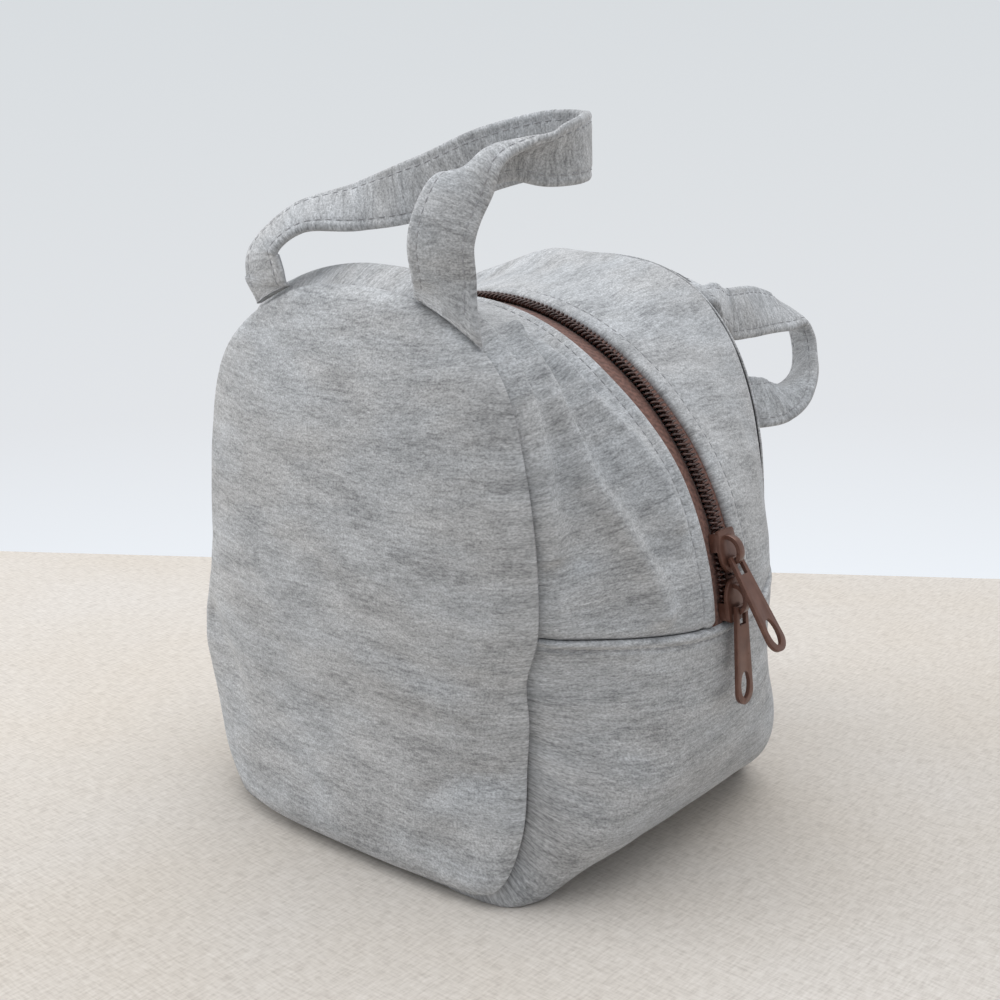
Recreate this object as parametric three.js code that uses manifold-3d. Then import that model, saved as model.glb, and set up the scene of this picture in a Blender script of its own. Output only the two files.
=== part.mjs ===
// A small soft lunch bag: two arch-topped face panels joined by a gusset, with a coil zip over the
// arch, two sliders parked at its right-hand end, and two strap handles sewn into the top seams.
// Millimetres, +Z up. X runs across the face panels, the front panel faces -Y, and the origin is the
// middle of the base, on the surface that the bag stands on.
import * as THREE from 'three';
import { mergeVertices } from 'three/addons/utils/BufferGeometryUtils.js';
import Module from 'manifold-3d';

const wasm = await Module();
wasm.setup();

// Seam outline of the face panels
const SEAM_HALF_WIDTH = 67;   // at the spring line, where the arch starts
const SPRING_Z = 80;          // height of the spring line
const CROWN_Z = 170;          // top of the arch
const ARCH_POWER = 2.56;      // superellipse power of the arch: 2 is an ellipse, more is squarer
const BASE_SEAM_Z = 5;        // the bottom seam stands a little above the base
const SIDE_POWER = 6;         // squareness of the bottom corners
const SEAM_Y = 58;            // each seam's distance from the middle plane
const PANEL_BULGE = 15;       // how far the middle of a face panel stands out from its seam
const BULGE_POWER = 2.5;      // fullness of the bulge
const BULGE_EDGE = 0.75;      // how steeply it rises from the seam

// Zip line, an arc in the middle plane
const ZIP_RADIUS = 90;        // to the middle of the chain's thickness
const ZIP_Z = 71;             // height of the arc's centre
const CLOTH_RISE = 0.4;       // the cloth's outer face over the middle of the chain
const LOWER_POWER = 3.4;      // squareness of the gusset's outline below the arc's centre
const BASE_BOW = 13;          // how far the bottom seam bows out in the middle
const BOW_TOP_Z = 50;         // height where that bow has died out
const BASE_SWELL = 5;         // how far that outline would pass below the base if it were not flat
const CROSS_SEAM_Z = 79;      // top fold of the lower gusset where it meets the face panels
const CROSS_SEAM_DIP = 5;     // and how much lower it is at the zip
const REVEAL = 6.2;           // folded edge of a zip gusset, from the middle plane
const CROWN_FALL = 1.3;       // how the gusset's surface leaves the zip line at the crown,
const SIDE_FALL = 2;          // at the sides
const BASE_FALL = 7;          // and at the base

// Sheets
const CLOTH = 1.3;            // jersey
const LINING = 3.2;           // foam with its wipe-clean skin
const SHEET_GAP = 0.4;        // between layers of cloth
const GAP = 0.3;              // between neighbouring pieces

// Zip tapes and chain
const TAPE_INNER = 1.6;       // a tape's inner and outer edges, from the middle plane
const TAPE_OUTER = 14;
const TAPE_THICK = 0.6;
const TAPE_TUCK = 8;          // length of tape under the lower gusset's fold
const COIL_PITCH = 1.6;
const COIL_THICK = 1.9;
const COIL_OUTER = 2.9;       // outer edge of a closed coil, from the middle plane
const COIL_SPINE = 1.2;       // width of the part that is sewn down
const TOOTH_CROSS = 0.5;      // how far a closed tooth's head passes the middle plane
const TOOTH_WIDTH = 0.95;     // at its root

// Sliders
const SLIDER_LENGTH = 12.6;
const SLIDER_TAIL = 3.9;      // half width at the tail
const SLIDER_WAIST = 4.7;     // half width at the waist
const SLIDER_WAIST_X = 0.5;   // place of the waist, from the middle towards the shoulder
const PLATE = 1.1;
const CHANNEL_GAP = 0.35;     // between the chain and the slider's channel
const TAPE_CLEAR = 0.65;      // under the tape, over the lower plate
const POST_HALF = 0.95;       // half width of the wedge that parts the teeth
const POST_POINT_X = -0.4;
const POST_WIDE_X = 2.4;
const POST_FROM_END = 0.6;
const SLIDER_GAP = 1.1;       // between the two parked sliders
const LOWER_SLIDER_RISE = 6.9; // arc length from the cross seam to the lower slider's middle
const BRIDGE_HALF = 4.6;      // crown that holds the pull: half length, height, thickness, half width
const BRIDGE_RISE = 4.2;
const BRIDGE_THICK = 1.2;
const BRIDGE_HALF_WIDTH = 1.2;

// Pulls
const PULL_LENGTH = 29;       // from the pivot to the tip
const PULL_THICK = 1.2;
const PULL_ROOT_HALF = 2.8;
const PULL_TIP_HALF = 4;
const PIVOT_X = 2.2;          // pivot's distance from the slider's middle
const PIVOT_RISE = 1.25;      // and above its upper plate
const PIN_RADIUS = 0.5;
const SLOT_LENGTH = 5.2;      // opening that clears the crown, from the pivot
const SLOT_HALF = 1.6;
const TIP_HOLE = [2.3, 4.1];  // half width and half length of the oval hole
const TIP_RIM = 1.7;          // metal left beyond the hole
const UPPER_PULL_TILT = 33;   // degrees out from hanging straight down
const LOWER_PULL_TILT = 4.6;

// Mouth: where the front and back halves fold away when the zip is open
const HINGE_Z = 81;           // fold across a face panel
const MOUTH_END_Z = 116;      // where the opening part of the zip ends

// Handles
const STRAP_WIDTH = 18;
const STRAP_THICK = 3;
const STRAP_EDGE = 0.3;        // half thickness at the edges, as a share of STRAP_THICK
const STRAP_STEPS = 32;
const STRAP_LANES = [-1, -0.6, 0, 0.6, 1];
const LANE_STEPS = 20;
const HANDLE_FOOT_X = 35.4;   // middle of each foot
const FOOT_HALF = 12.2;       // half width of a foot, along X
const FOOT_BLEND = 0.045;     // share of the strap's length in which it leaves the seam's line
const FOOT_GAP = 0.6;

const JERSEY = { color: 0xb3b7ba, roughness: 0.95, metalness: 0 };
const FOIL = { color: 0xc9ccd0, roughness: 0.6, metalness: 0 };
const TAPE = { color: 0x5a3a33, roughness: 0.9, metalness: 0 };
const NYLON = { color: 0x4a2c26, roughness: 0.45, metalness: 0 };
const PAINT = { color: 0x8a5f52, roughness: 0.4, metalness: 0.1 };

const bag = new THREE.Group();
const RAD = Math.PI / 180;
const CLOTH_RADIUS = ZIP_RADIUS + CLOTH_RISE;
const CLOTH_END = SEAM_Y - CLOTH / 2 - GAP;
const UNDER_CLOTH = CLOTH + SHEET_GAP;

function add(name, geometry, finish) {
  const mesh = new THREE.Mesh(geometry, new THREE.MeshStandardMaterial(finish));
  mesh.name = name;
  bag.add(mesh);
}

// Closed sheet between two depths under a face, which is a grid of places with their inward normals
function sheet(face, outer, inner) {
  const rows = face.length - 1;
  const columns = face[0].length - 1;
  const positions = [];
  for (const depth of [outer, inner]) {
    for (const row of face) {
      for (const { place, inward } of row) {
        positions.push(...place.clone().addScaledVector(inward, depth).toArray());
      }
    }
  }
  const at = (i, j, side) => side * (rows + 1) * (columns + 1) + i * (columns + 1) + j;
  const index = [];
  const quad = (a, b, c, d) => index.push(a, b, c, a, c, d);
  for (let i = 0; i < rows; i++) {
    for (let j = 0; j < columns; j++) {
      quad(at(i, j, 0), at(i, j + 1, 0), at(i + 1, j + 1, 0), at(i + 1, j, 0));
      quad(at(i, j, 1), at(i + 1, j, 1), at(i + 1, j + 1, 1), at(i, j + 1, 1));
    }
  }
  for (let i = 0; i < rows; i++) {
    quad(at(i, 0, 0), at(i + 1, 0, 0), at(i + 1, 0, 1), at(i, 0, 1));
    quad(at(i, columns, 0), at(i, columns, 1), at(i + 1, columns, 1), at(i + 1, columns, 0));
  }
  for (let j = 0; j < columns; j++) {
    quad(at(0, j, 0), at(0, j, 1), at(0, j + 1, 1), at(0, j + 1, 0));
    quad(at(rows, j, 0), at(rows, j + 1, 0), at(rows, j + 1, 1), at(rows, j, 1));
  }
  return facingOut(positions, index);
}

// Moves one edge of a row of places in by a distance, along its own facets
function drawIn(line, distance) {
  const [edge, next] = line;
  const share = distance / edge.place.distanceTo(next.place);
  const moved = {
    place: edge.place.clone().lerp(next.place, share),
    inward: edge.inward.clone().lerp(next.inward, share),
  };
  return [moved, ...line.slice(1)];
}

// Face with its columns' first and last edges drawn in
const narrowed = (face, first, last) => face.map(
  (row) => drawIn(drawIn(row, first).reverse(), last).reverse(),
);

const turned = (face) => face[0].map((_, j) => face.map((row) => row[j]));

// Turns a closed mesh so that its faces point out, from the sign of its volume
function facingOut(positions, index) {
  const corner = (n) => new THREE.Vector3().fromArray(positions, 3 * n);
  let volume = 0;
  for (let n = 0; n < index.length; n += 3) {
    volume += corner(index[n]).dot(corner(index[n + 1]).cross(corner(index[n + 2])));
  }
  if (volume < 0) index.reverse();
  const geometry = new THREE.BufferGeometry();
  geometry.setAttribute('position', new THREE.Float32BufferAttribute(positions, 3));
  geometry.setIndex(index);
  geometry.computeVertexNormals();
  return geometry;
}

function toSolid(geometry) {
  const bare = geometry.clone();
  bare.deleteAttribute('normal');
  bare.deleteAttribute('uv');
  const merged = mergeVertices(bare, 1e-5);
  const corners = merged.index.array;
  const triangles = [];
  for (let n = 0; n < corners.length; n += 3) {
    const [a, b, c] = corners.slice(n, n + 3);
    if (a !== b && b !== c && c !== a) triangles.push(a, b, c);
  }
  return new wasm.Manifold(new wasm.Mesh({
    numProp: 3,
    vertProperties: new Float32Array(merged.attributes.position.array),
    triVerts: new Uint32Array(triangles),
  }));
}

function toGeometry(solid) {
  const mesh = solid.getMesh();
  const geometry = new THREE.BufferGeometry();
  geometry.setAttribute('position', new THREE.BufferAttribute(mesh.vertProperties, 3));
  geometry.setIndex(new THREE.BufferAttribute(mesh.triVerts, 1));
  geometry.computeVertexNormals();
  return geometry;
}

const power = (value, exponent) => Math.abs(value) ** exponent;
const smoothStep = (value) => THREE.MathUtils.smoothstep(value, 0, 1);

// Face panel outline, drawn in by inset, as a test of whether (x, z) is inside
function insideSeam(x, z, inset = 0) {
  const across = SEAM_HALF_WIDTH - inset;
  if (z > SPRING_Z) {
    const up = (z - SPRING_Z) / (CROWN_Z - inset - SPRING_Z);
    return power(x / across, ARCH_POWER) + power(up, ARCH_POWER) < 1;
  }
  const down = (SPRING_Z - z) / (SPRING_Z - BASE_SEAM_Z - inset);
  return power(x / across, SIDE_POWER) + power(down, SIDE_POWER) < 1;
}

// Gusset outline in the middle plane: the zip's arc above its centre, a squarer curve below
function insideMiddle(x, z) {
  if (z > ZIP_Z) return x * x + (z - ZIP_Z) ** 2 < CLOTH_RADIUS ** 2;
  const down = (ZIP_Z - z) / (ZIP_Z + BASE_SWELL);
  return power(x / CLOTH_RADIUS, LOWER_POWER) + power(down, LOWER_POWER) < 1;
}

// Largest value for which test still holds, by halving
function largest(test, high) {
  let low = 0;
  for (let step = 0; step < 40; step++) {
    const middle = (low + high) / 2;
    if (test(middle)) low = middle;
    else high = middle;
  }
  return low;
}

// Distance from the arc's centre to an outline, in the direction phi above +X
const reach = (inside, phi) => largest(
  (r) => inside(r * Math.cos(phi), ZIP_Z + r * Math.sin(phi)),
  2 * CROWN_Z,
);

// Share of the way from the folded edge at the zip to the seam
const outward = (y) => Math.max(0, (Math.abs(y) - REVEAL) / (SEAM_Y - REVEAL));

// How far the lower seam bows out at (x, z) of a face panel
function bow(x, z) {
  const low = THREE.MathUtils.clamp((BOW_TOP_Z - z) / (BOW_TOP_Z - BASE_SEAM_Z), 0, 1);
  return BASE_BOW * low ** 1.5 * (1 - 0.55 * power(x / SEAM_HALF_WIDTH, 3));
}

// Outer face of the gusset at direction phi and depth y: from the middle outline to the seam outline
function gussetFace(phi, y) {
  const out = outward(y);
  const rise = Math.sin(phi);
  const fall = rise > 0
    ? SIDE_FALL + (CROWN_FALL - SIDE_FALL) * rise
    : SIDE_FALL - (BASE_FALL - SIDE_FALL) * rise;
  const seam = reach(insideSeam, phi);
  const r = seam + (reach(insideMiddle, phi) - seam) * (1 - out ** fall);
  const shift = bow(seam * Math.cos(phi), ZIP_Z + seam * Math.sin(phi)) * y / CLOTH_END;
  return new THREE.Vector3(r * Math.cos(phi), y + shift, Math.max(0, ZIP_Z + r * Math.sin(phi)));
}

// Place on the gusset's face with its inward normal
function gussetPlace(phi, y) {
  const turn = 1.5 * RAD;
  const shift = 1;
  const along = gussetFace(phi + turn, y).sub(gussetFace(phi - turn, y));
  const across = gussetFace(phi, y + shift).sub(gussetFace(phi, y - shift));
  return { place: gussetFace(phi, y), inward: along.cross(across).normalize() };
}

// Depth plane on which a half folds away: height of the cut at a depth y
const AXIS_Y = SEAM_Y + CLOTH / 2 + PANEL_BULGE + GAP / 2;
const cutHeight = (y) => HINGE_Z + (AXIS_Y - Math.abs(y)) * (MOUTH_END_Z - HINGE_Z) / AXIS_Y;

// Direction in which the gusset's face at depth y reaches a height
const LOWEST_ANGLE = -20 * RAD;
const HIGHEST_ANGLE = 90 * RAD;
function angleAt(height, y) {
  const below = (turn) => gussetFace(LOWEST_ANGLE + turn, y).z < height;
  return LOWEST_ANGLE + largest(below, HIGHEST_ANGLE - LOWEST_ANGLE);
}

const CUT_HALF_GAP = GAP / 2 / CLOTH_RADIUS;
const cutAngle = (y) => angleAt(cutHeight(y), y);
const crossSeamZ = (y) => CROSS_SEAM_Z - CROSS_SEAM_DIP * (1 - outward(y));
const seamAngle = (y) => angleAt(crossSeamZ(y), y);
const tuckAngle = (y) => angleAt(crossSeamZ(y) - TAPE_TUCK, y);

// Lines across the gusset that its sheets share, so that their facets lie parallel
const TAPE_COLUMN = 0;
const FOLD_COLUMN = 1;
const TAPE_EDGE_COLUMN = 2;
const COLUMNS = [TAPE_INNER, REVEAL, TAPE_OUTER, 0.43 * SEAM_Y, 0.66 * SEAM_Y, 0.88 * SEAM_Y, CLOTH_END];

// Face of a stretch of gusset: angles(y) lists the directions of its rows at a depth y
const gussetStretch = (angles, depths) => turned(
  depths.map((y) => angles(y).map((phi) => gussetPlace(phi, y))),
);

const columns = (face, first, last) => face.map((row) => row.slice(first, last + 1));

const between = (from, to, steps) => Array.from(
  { length: steps + 1 },
  (_, n) => from + (to - from) * n / steps,
);

// Lower gusset: one strip down the right side, under the base and up the left side. Its rows crowd
// where the outline turns under the base.
const ROW_ANGLES = [8, 18, 28, 36, 43, 49, 55, 62, 74, 90, 106, 118, 125, 131, 137, 144, 152, 162, 172];

function lowerGusset() {
  const depths = COLUMNS.slice(FOLD_COLUMN);
  const across = [...depths.map((y) => -y).reverse(), ...depths];
  const angles = (y) => {
    const top = seamAngle(y) - CUT_HALF_GAP;
    const tuck = tuckAngle(y) - CUT_HALF_GAP;
    return [top, tuck, ...ROW_ANGLES.map((angle) => -angle * RAD), -Math.PI - tuck, -Math.PI - top];
  };
  const face = gussetStretch(angles, across);
  add('lower_gusset', sheet(face, 0, CLOTH), JERSEY);
  const inner = narrowed(face.slice(1, -1), LINING + GAP, LINING + GAP);
  add('lower_gusset_lining', sheet(inner, UNDER_CLOTH, UNDER_CLOTH + LINING), FOIL);
}

// Each zip gusset is one strip of cloth. It is cut where the mouth folds, so that its arch can turn
// while its two ends stay with the lower bag. An end's tape and lining reach down behind the fold of
// the lower gusset, so its cloth starts one row later than they do.
function zipGusset(side, sign) {
  const arch = (y) => {
    const cut = cutAngle(y) + CUT_HALF_GAP;
    return between(cut, Math.PI - cut, 15);
  };
  const end = (y) => {
    const foot = seamAngle(y) + CUT_HALF_GAP;
    return [tuckAngle(y) + CUT_HALF_GAP, ...between(foot, cutAngle(y) - CUT_HALF_GAP, 3)];
  };
  const leftEnd = (y) => end(y).map((angle) => Math.PI - angle);
  const depths = COLUMNS.map((y) => sign * y);
  const last = COLUMNS.length - 1;
  const parts = [['arch', arch, 0], ['right_end', end, 1], ['left_end', leftEnd, 1]];
  for (const [part, angles, clothRow] of parts) {
    const face = gussetStretch(angles, depths);
    const cloth = columns(face.slice(clothRow), FOLD_COLUMN, last);
    const inner = narrowed(columns(face, TAPE_EDGE_COLUMN, last), GAP, LINING + GAP);
    const tape = columns(face, TAPE_COLUMN, TAPE_EDGE_COLUMN);
    add(`${side}_zip_gusset_${part}`, sheet(cloth, 0, CLOTH), JERSEY);
    add(`${side}_zip_gusset_${part}_lining`, sheet(inner, UNDER_CLOTH, UNDER_CLOTH + LINING), FOIL);
    add(`${side}_zip_tape_${part}`, sheet(tape, UNDER_CLOTH, UNDER_CLOTH + TAPE_THICK), TAPE);
  }
}

const halfWidth = (z) => largest((x) => insideSeam(x, z), 2 * SEAM_HALF_WIDTH);

// How far a face panel stands out at (x, z): nothing at its seam, all of the bulge in the middle
function panelBulge(x, z) {
  const middle = (CROWN_Z + BASE_SEAM_Z) / 2;
  const across = 1 - power(Math.min(1, x / Math.max(1e-6, halfWidth(z))), BULGE_POWER);
  const up = 1 - power((z - middle) / (middle - BASE_SEAM_Z), BULGE_POWER);
  return PANEL_BULGE * Math.max(0, across * up) ** BULGE_EDGE;
}

const panelFace = (x, z) => SEAM_Y + CLOTH / 2 + bow(x, z) + panelBulge(x, z);

// Height of the fold on a panel at x
function panelCut(x) {
  let z = HINGE_Z;
  for (let step = 0; step < 12; step++) z = cutHeight(panelFace(x, z));
  return z;
}

// Face panel from the fold to its top or bottom edge, each row a share of the way
const PANEL_SHARES = { upper: [0, 0.2, 0.4, 0.6, 0.78, 0.91, 1], lower: [0, 0.35, 0.7, 0.88, 0.96, 1] };
const PANEL_ACROSS = [-1, -0.92, -0.75, -0.5, -0.2, 0.2, 0.5, 0.75, 0.92, 1];

function panelStretch(sign, part) {
  const edge = part === 'upper' ? CROWN_Z - GAP : BASE_SEAM_Z + GAP;
  const half = part === 'upper' ? GAP / 2 : -GAP / 2;
  const inward = new THREE.Vector3(0, -sign, 0);
  return PANEL_SHARES[part].map((share) => PANEL_ACROSS.map((across) => {
    const fold = panelCut(across * halfWidth(panelCut(SEAM_HALF_WIDTH))) + half;
    const z = fold + (edge - fold) * share;
    const x = across * halfWidth(z);
    return { place: new THREE.Vector3(x, sign * panelFace(x, z), z), inward };
  }));
}

// Everything inside a face panel's outline drawn in by inset, as a block from front to back
function insetBlock(inset) {
  const directions = between(0, 2 * Math.PI, 48).slice(0, -1);
  const corners = directions.map((phi) => {
    const r = reach((x, z) => insideSeam(x, z, inset), phi);
    return new THREE.Vector2(r * Math.cos(phi), ZIP_Z + r * Math.sin(phi));
  });
  return prism(new THREE.Shape(corners), -AXIS_Y, AXIS_Y).rotate([90, 0, 0]);
}

// A panel's lining is trimmed to clear the cloth of the gusset
function facePanel(side, sign) {
  const trim = insetBlock(UNDER_CLOTH + 3 * GAP);
  for (const part of ['upper', 'lower']) {
    const face = panelStretch(sign, part);
    const lining = toSolid(sheet(face, UNDER_CLOTH, UNDER_CLOTH + LINING)).intersect(trim);
    add(`${side}_panel_${part}`, sheet(face, 0, CLOTH), JERSEY);
    add(`${side}_panel_${part}_lining`, toGeometry(lining), FOIL);
  }
}

// Angles of the parked sliders' middles on the arc
const arcAngle = (length) => length / ZIP_RADIUS;
const CROSS_ANGLE = Math.asin((crossSeamZ(0) - ZIP_Z) / CLOTH_RADIUS);
const LOWER_SLIDER_ANGLE = CROSS_ANGLE + arcAngle(LOWER_SLIDER_RISE);
const UPPER_SLIDER_ANGLE = LOWER_SLIDER_ANGLE + arcAngle(SLIDER_LENGTH + SLIDER_GAP);

// How far the teeth stand aside at an angle: held apart between the sliders' wedges, meshed elsewhere
function parting(phi) {
  const middle = (LOWER_SLIDER_ANGLE + UPPER_SLIDER_ANGLE) / 2;
  const away = Math.abs(phi - middle) * ZIP_RADIUS;
  const full = SLIDER_GAP / 2 + SLIDER_LENGTH / 2 - 2;
  const closed = full + 4;
  const share = THREE.MathUtils.clamp((closed - away) / (closed - full), 0, 1);
  return (TOOTH_CROSS + POST_HALF + CHANNEL_GAP) * share * share * (3 - 2 * share);
}

const COIL_LOW = -COIL_THICK / 2;
const COIL_HIGH = COIL_THICK / 2;

// One coil as the comb that it makes: a sewn spine with a tooth for each turn. The teeth of the two
// coils stand half a pitch apart, so that they mesh.
function coil(name, sign, first, last) {
  const positions = [];
  const index = [];
  const point = (phi, y, z) => positions.push(
    (ZIP_RADIUS + z) * Math.cos(phi), sign * y, ZIP_Z + (ZIP_RADIUS + z) * Math.sin(phi),
  );
  const step = arcAngle(COIL_PITCH);
  const offset = sign > 0 ? 0.25 : 0.75;
  const start = Math.ceil(first / step - offset) + offset;
  const count = Math.floor(last / step - start);
  for (let n = 0; n <= count; n++) {
    const phi = (start + n) * step;
    const aside = parting(phi);
    const root = arcAngle(TOOTH_WIDTH / 2);
    for (const z of [COIL_LOW, COIL_HIGH]) {
      point(phi - root, COIL_OUTER - COIL_SPINE + aside, z);
      point(phi, -TOOTH_CROSS + aside, z);
      point(phi + root, COIL_OUTER - COIL_SPINE + aside, z);
      point(phi, COIL_OUTER + aside, z);
    }
  }
  const LEFT = 0;
  const TIP = 1;
  const RIGHT = 2;
  const BACK = 3;
  const corners = 4;
  const at = (n, corner, top) => (2 * n + top) * corners + corner;
  const face = (a, b, c) => {
    index.push(at(...a, 0), at(...b, 0), at(...c, 0));
    index.push(at(...a, 1), at(...c, 1), at(...b, 1));
  };
  const wall = (a, b) => {
    index.push(at(...a, 0), at(...a, 1), at(...b, 1));
    index.push(at(...a, 0), at(...b, 1), at(...b, 0));
  };
  for (let n = 0; n <= count; n++) {
    face([n, LEFT], [n, TIP], [n, RIGHT]);
    face([n, LEFT], [n, RIGHT], [n, BACK]);
    wall([n, LEFT], [n, TIP]);
    wall([n, TIP], [n, RIGHT]);
    if (n === count) continue;
    face([n, RIGHT], [n + 1, LEFT], [n + 1, BACK]);
    face([n, RIGHT], [n + 1, BACK], [n, BACK]);
    wall([n, RIGHT], [n + 1, LEFT]);
    wall([n + 1, BACK], [n, BACK]);
  }
  wall([0, BACK], [0, LEFT]);
  wall([count, RIGHT], [count, BACK]);
  add(name, facingOut(positions, index), NYLON);
}

function chain(side, sign) {
  const cut = cutAngle(0);
  const end = CROSS_ANGLE + arcAngle(GAP);
  coil(`${side}_coil_right_end`, sign, end, cut);
  coil(`${side}_coil_arch`, sign, cut, Math.PI - cut);
  coil(`${side}_coil_left_end`, sign, Math.PI - cut, Math.PI - end);
}

// Flat outline as a prism between two heights
function prism(outline, low, high) {
  const options = { depth: high - low, bevelEnabled: false, curveSegments: 6 };
  const geometry = new THREE.ExtrudeGeometry(outline, options);
  return toSolid(geometry.translate(0, 0, low));
}

// Slider body in its own frame: X towards the shoulder, Z out of the bag, 0 at the chain's middle
const TOP_LOW = COIL_HIGH + CHANNEL_GAP;
const TOP_HIGH = TOP_LOW + PLATE;
const TAPE_LOW = CLOTH_RISE - UNDER_CLOTH - TAPE_THICK;
const TAPE_HIGH = CLOTH_RISE - UNDER_CLOTH;
const BOTTOM_HIGH = TAPE_LOW - TAPE_CLEAR;
const BOTTOM_LOW = BOTTOM_HIGH - PLATE;

function plateOutline() {
  const outline = new THREE.Shape();
  outline.moveTo(-SLIDER_LENGTH / 2, SLIDER_TAIL - 1);
  outline.lineTo(-SLIDER_LENGTH / 2, 1 - SLIDER_TAIL);
  outline.quadraticCurveTo(-SLIDER_LENGTH / 2, -SLIDER_TAIL, 1 - SLIDER_LENGTH / 2, -SLIDER_TAIL);
  outline.lineTo(SLIDER_WAIST_X, -SLIDER_WAIST);
  outline.absellipse(SLIDER_WAIST_X, 0, SLIDER_LENGTH / 2 - SLIDER_WAIST_X, SLIDER_WAIST,
    -Math.PI / 2, Math.PI / 2, false);
  outline.lineTo(1 - SLIDER_LENGTH / 2, SLIDER_TAIL);
  outline.quadraticCurveTo(-SLIDER_LENGTH / 2, SLIDER_TAIL, -SLIDER_LENGTH / 2, SLIDER_TAIL - 1);
  return outline;
}

function flangeOutline(sign) {
  const inner = COIL_OUTER + CHANNEL_GAP;
  const spread = SLIDER_WAIST - SLIDER_TAIL;
  return new THREE.Shape([
    new THREE.Vector2(-SLIDER_LENGTH / 2 + 0.6, sign * inner),
    new THREE.Vector2(SLIDER_WAIST_X - 1, sign * (inner + spread / 2)),
    new THREE.Vector2(SLIDER_WAIST_X - 1, sign * (SLIDER_WAIST - spread / 6)),
    new THREE.Vector2(-SLIDER_LENGTH / 2 + 0.6, sign * (SLIDER_TAIL - 0.05)),
  ]);
}

function postOutline() {
  const tip = SLIDER_LENGTH / 2 - POST_FROM_END;
  const outline = new THREE.Shape();
  outline.moveTo(POST_POINT_X, 0);
  outline.lineTo(POST_WIDE_X, -POST_HALF);
  outline.lineTo(tip - POST_HALF, -POST_HALF);
  outline.absarc(tip - POST_HALF, 0, POST_HALF, -Math.PI / 2, Math.PI / 2, false);
  outline.lineTo(POST_WIDE_X, POST_HALF);
  outline.closePath();
  return outline;
}

// Crown over the upper plate: half an ellipse of strip, drawn on its side and turned up
function crownSolid() {
  const sink = 0.3;
  const outline = new THREE.Shape();
  outline.moveTo(-BRIDGE_HALF, -sink);
  outline.lineTo(-BRIDGE_HALF, 0);
  outline.absellipse(0, 0, BRIDGE_HALF, BRIDGE_RISE, Math.PI, 0, true);
  outline.lineTo(BRIDGE_HALF, -sink);
  outline.lineTo(BRIDGE_HALF - BRIDGE_THICK, -sink);
  outline.lineTo(BRIDGE_HALF - BRIDGE_THICK, 0);
  outline.absellipse(0, 0, BRIDGE_HALF - BRIDGE_THICK, BRIDGE_RISE - BRIDGE_THICK, 0, Math.PI, false);
  outline.lineTo(BRIDGE_THICK - BRIDGE_HALF, -sink);
  outline.closePath();
  const options = { depth: 2 * BRIDGE_HALF_WIDTH, bevelEnabled: false, curveSegments: 10 };
  const strip = new THREE.ExtrudeGeometry(outline, options);
  strip.rotateX(Math.PI / 2).translate(0, BRIDGE_HALF_WIDTH, TOP_HIGH);
  return toSolid(strip);
}

function sliderGeometry() {
  const join = 0.01;
  let body = prism(plateOutline(), TOP_LOW, TOP_HIGH).add(prism(plateOutline(), BOTTOM_LOW, BOTTOM_HIGH));
  body = body.add(prism(postOutline(), BOTTOM_HIGH - join, TOP_LOW + join));
  for (const sign of [-1, 1]) {
    body = body.add(prism(flangeOutline(sign), TAPE_HIGH + CHANNEL_GAP, TOP_LOW + join));
  }
  return toGeometry(body.add(crownSolid()));
}

// Pull in its own frame: pivot at the origin, hanging towards -Z, flat side towards X. Its two arms
// pass beside the crown and hold a round pin under it.
function pullGeometry() {
  const outline = new THREE.Shape();
  outline.moveTo(-PULL_ROOT_HALF, PIN_RADIUS);
  outline.lineTo(-SLOT_HALF, PIN_RADIUS);
  outline.lineTo(-SLOT_HALF, -SLOT_LENGTH);
  outline.lineTo(SLOT_HALF, -SLOT_LENGTH);
  outline.lineTo(SLOT_HALF, PIN_RADIUS);
  outline.lineTo(PULL_ROOT_HALF, PIN_RADIUS);
  outline.lineTo(PULL_TIP_HALF, PULL_TIP_HALF - PULL_LENGTH);
  outline.absarc(0, PULL_TIP_HALF - PULL_LENGTH, PULL_TIP_HALF, 0, -Math.PI, true);
  const hole = new THREE.Path();
  const holeY = TIP_HOLE[1] + TIP_RIM - PULL_LENGTH;
  hole.absellipse(0, holeY, TIP_HOLE[0], TIP_HOLE[1], 0, 2 * Math.PI, false);
  outline.holes.push(hole);
  const options = { depth: PULL_THICK, bevelEnabled: false, curveSegments: 10 };
  const tab = new THREE.ExtrudeGeometry(outline, options);
  tab.translate(0, 0, -PULL_THICK / 2);
  tab.applyMatrix4(new THREE.Matrix4().makeBasis(
    new THREE.Vector3(0, 1, 0), new THREE.Vector3(0, 0, 1), new THREE.Vector3(1, 0, 0),
  ));
  const pin = new THREE.CylinderGeometry(PIN_RADIUS, PIN_RADIUS, SLOT_HALF + PULL_ROOT_HALF, 10);
  return toGeometry(toSolid(tab).add(toSolid(pin)));
}

// Places a slider on the arc, shoulder towards the lower (-1) or the upper (1) end, with its pull
function slider(name, phi, shoulder, tilt) {
  const out = new THREE.Vector3(Math.cos(phi), 0, Math.sin(phi));
  const forward = new THREE.Vector3(-Math.sin(phi), 0, Math.cos(phi)).multiplyScalar(shoulder);
  const middle = new THREE.Vector3(0, 0, ZIP_Z).addScaledVector(out, ZIP_RADIUS);
  const aside = out.clone().cross(forward);
  const frame = new THREE.Matrix4().makeBasis(forward, aside, out).setPosition(middle);
  add(`${name}_slider`, sliderGeometry().applyMatrix4(frame), PAINT);
  const pivot = middle.clone()
    .addScaledVector(forward, -shoulder * PIVOT_X)
    .addScaledVector(out, TOP_HIGH + PIVOT_RISE);
  const hang = new THREE.Matrix4().makeRotationY(-tilt * RAD).setPosition(pivot);
  add(`${name}_pull`, pullGeometry().applyMatrix4(hang), PAINT);
}

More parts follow.
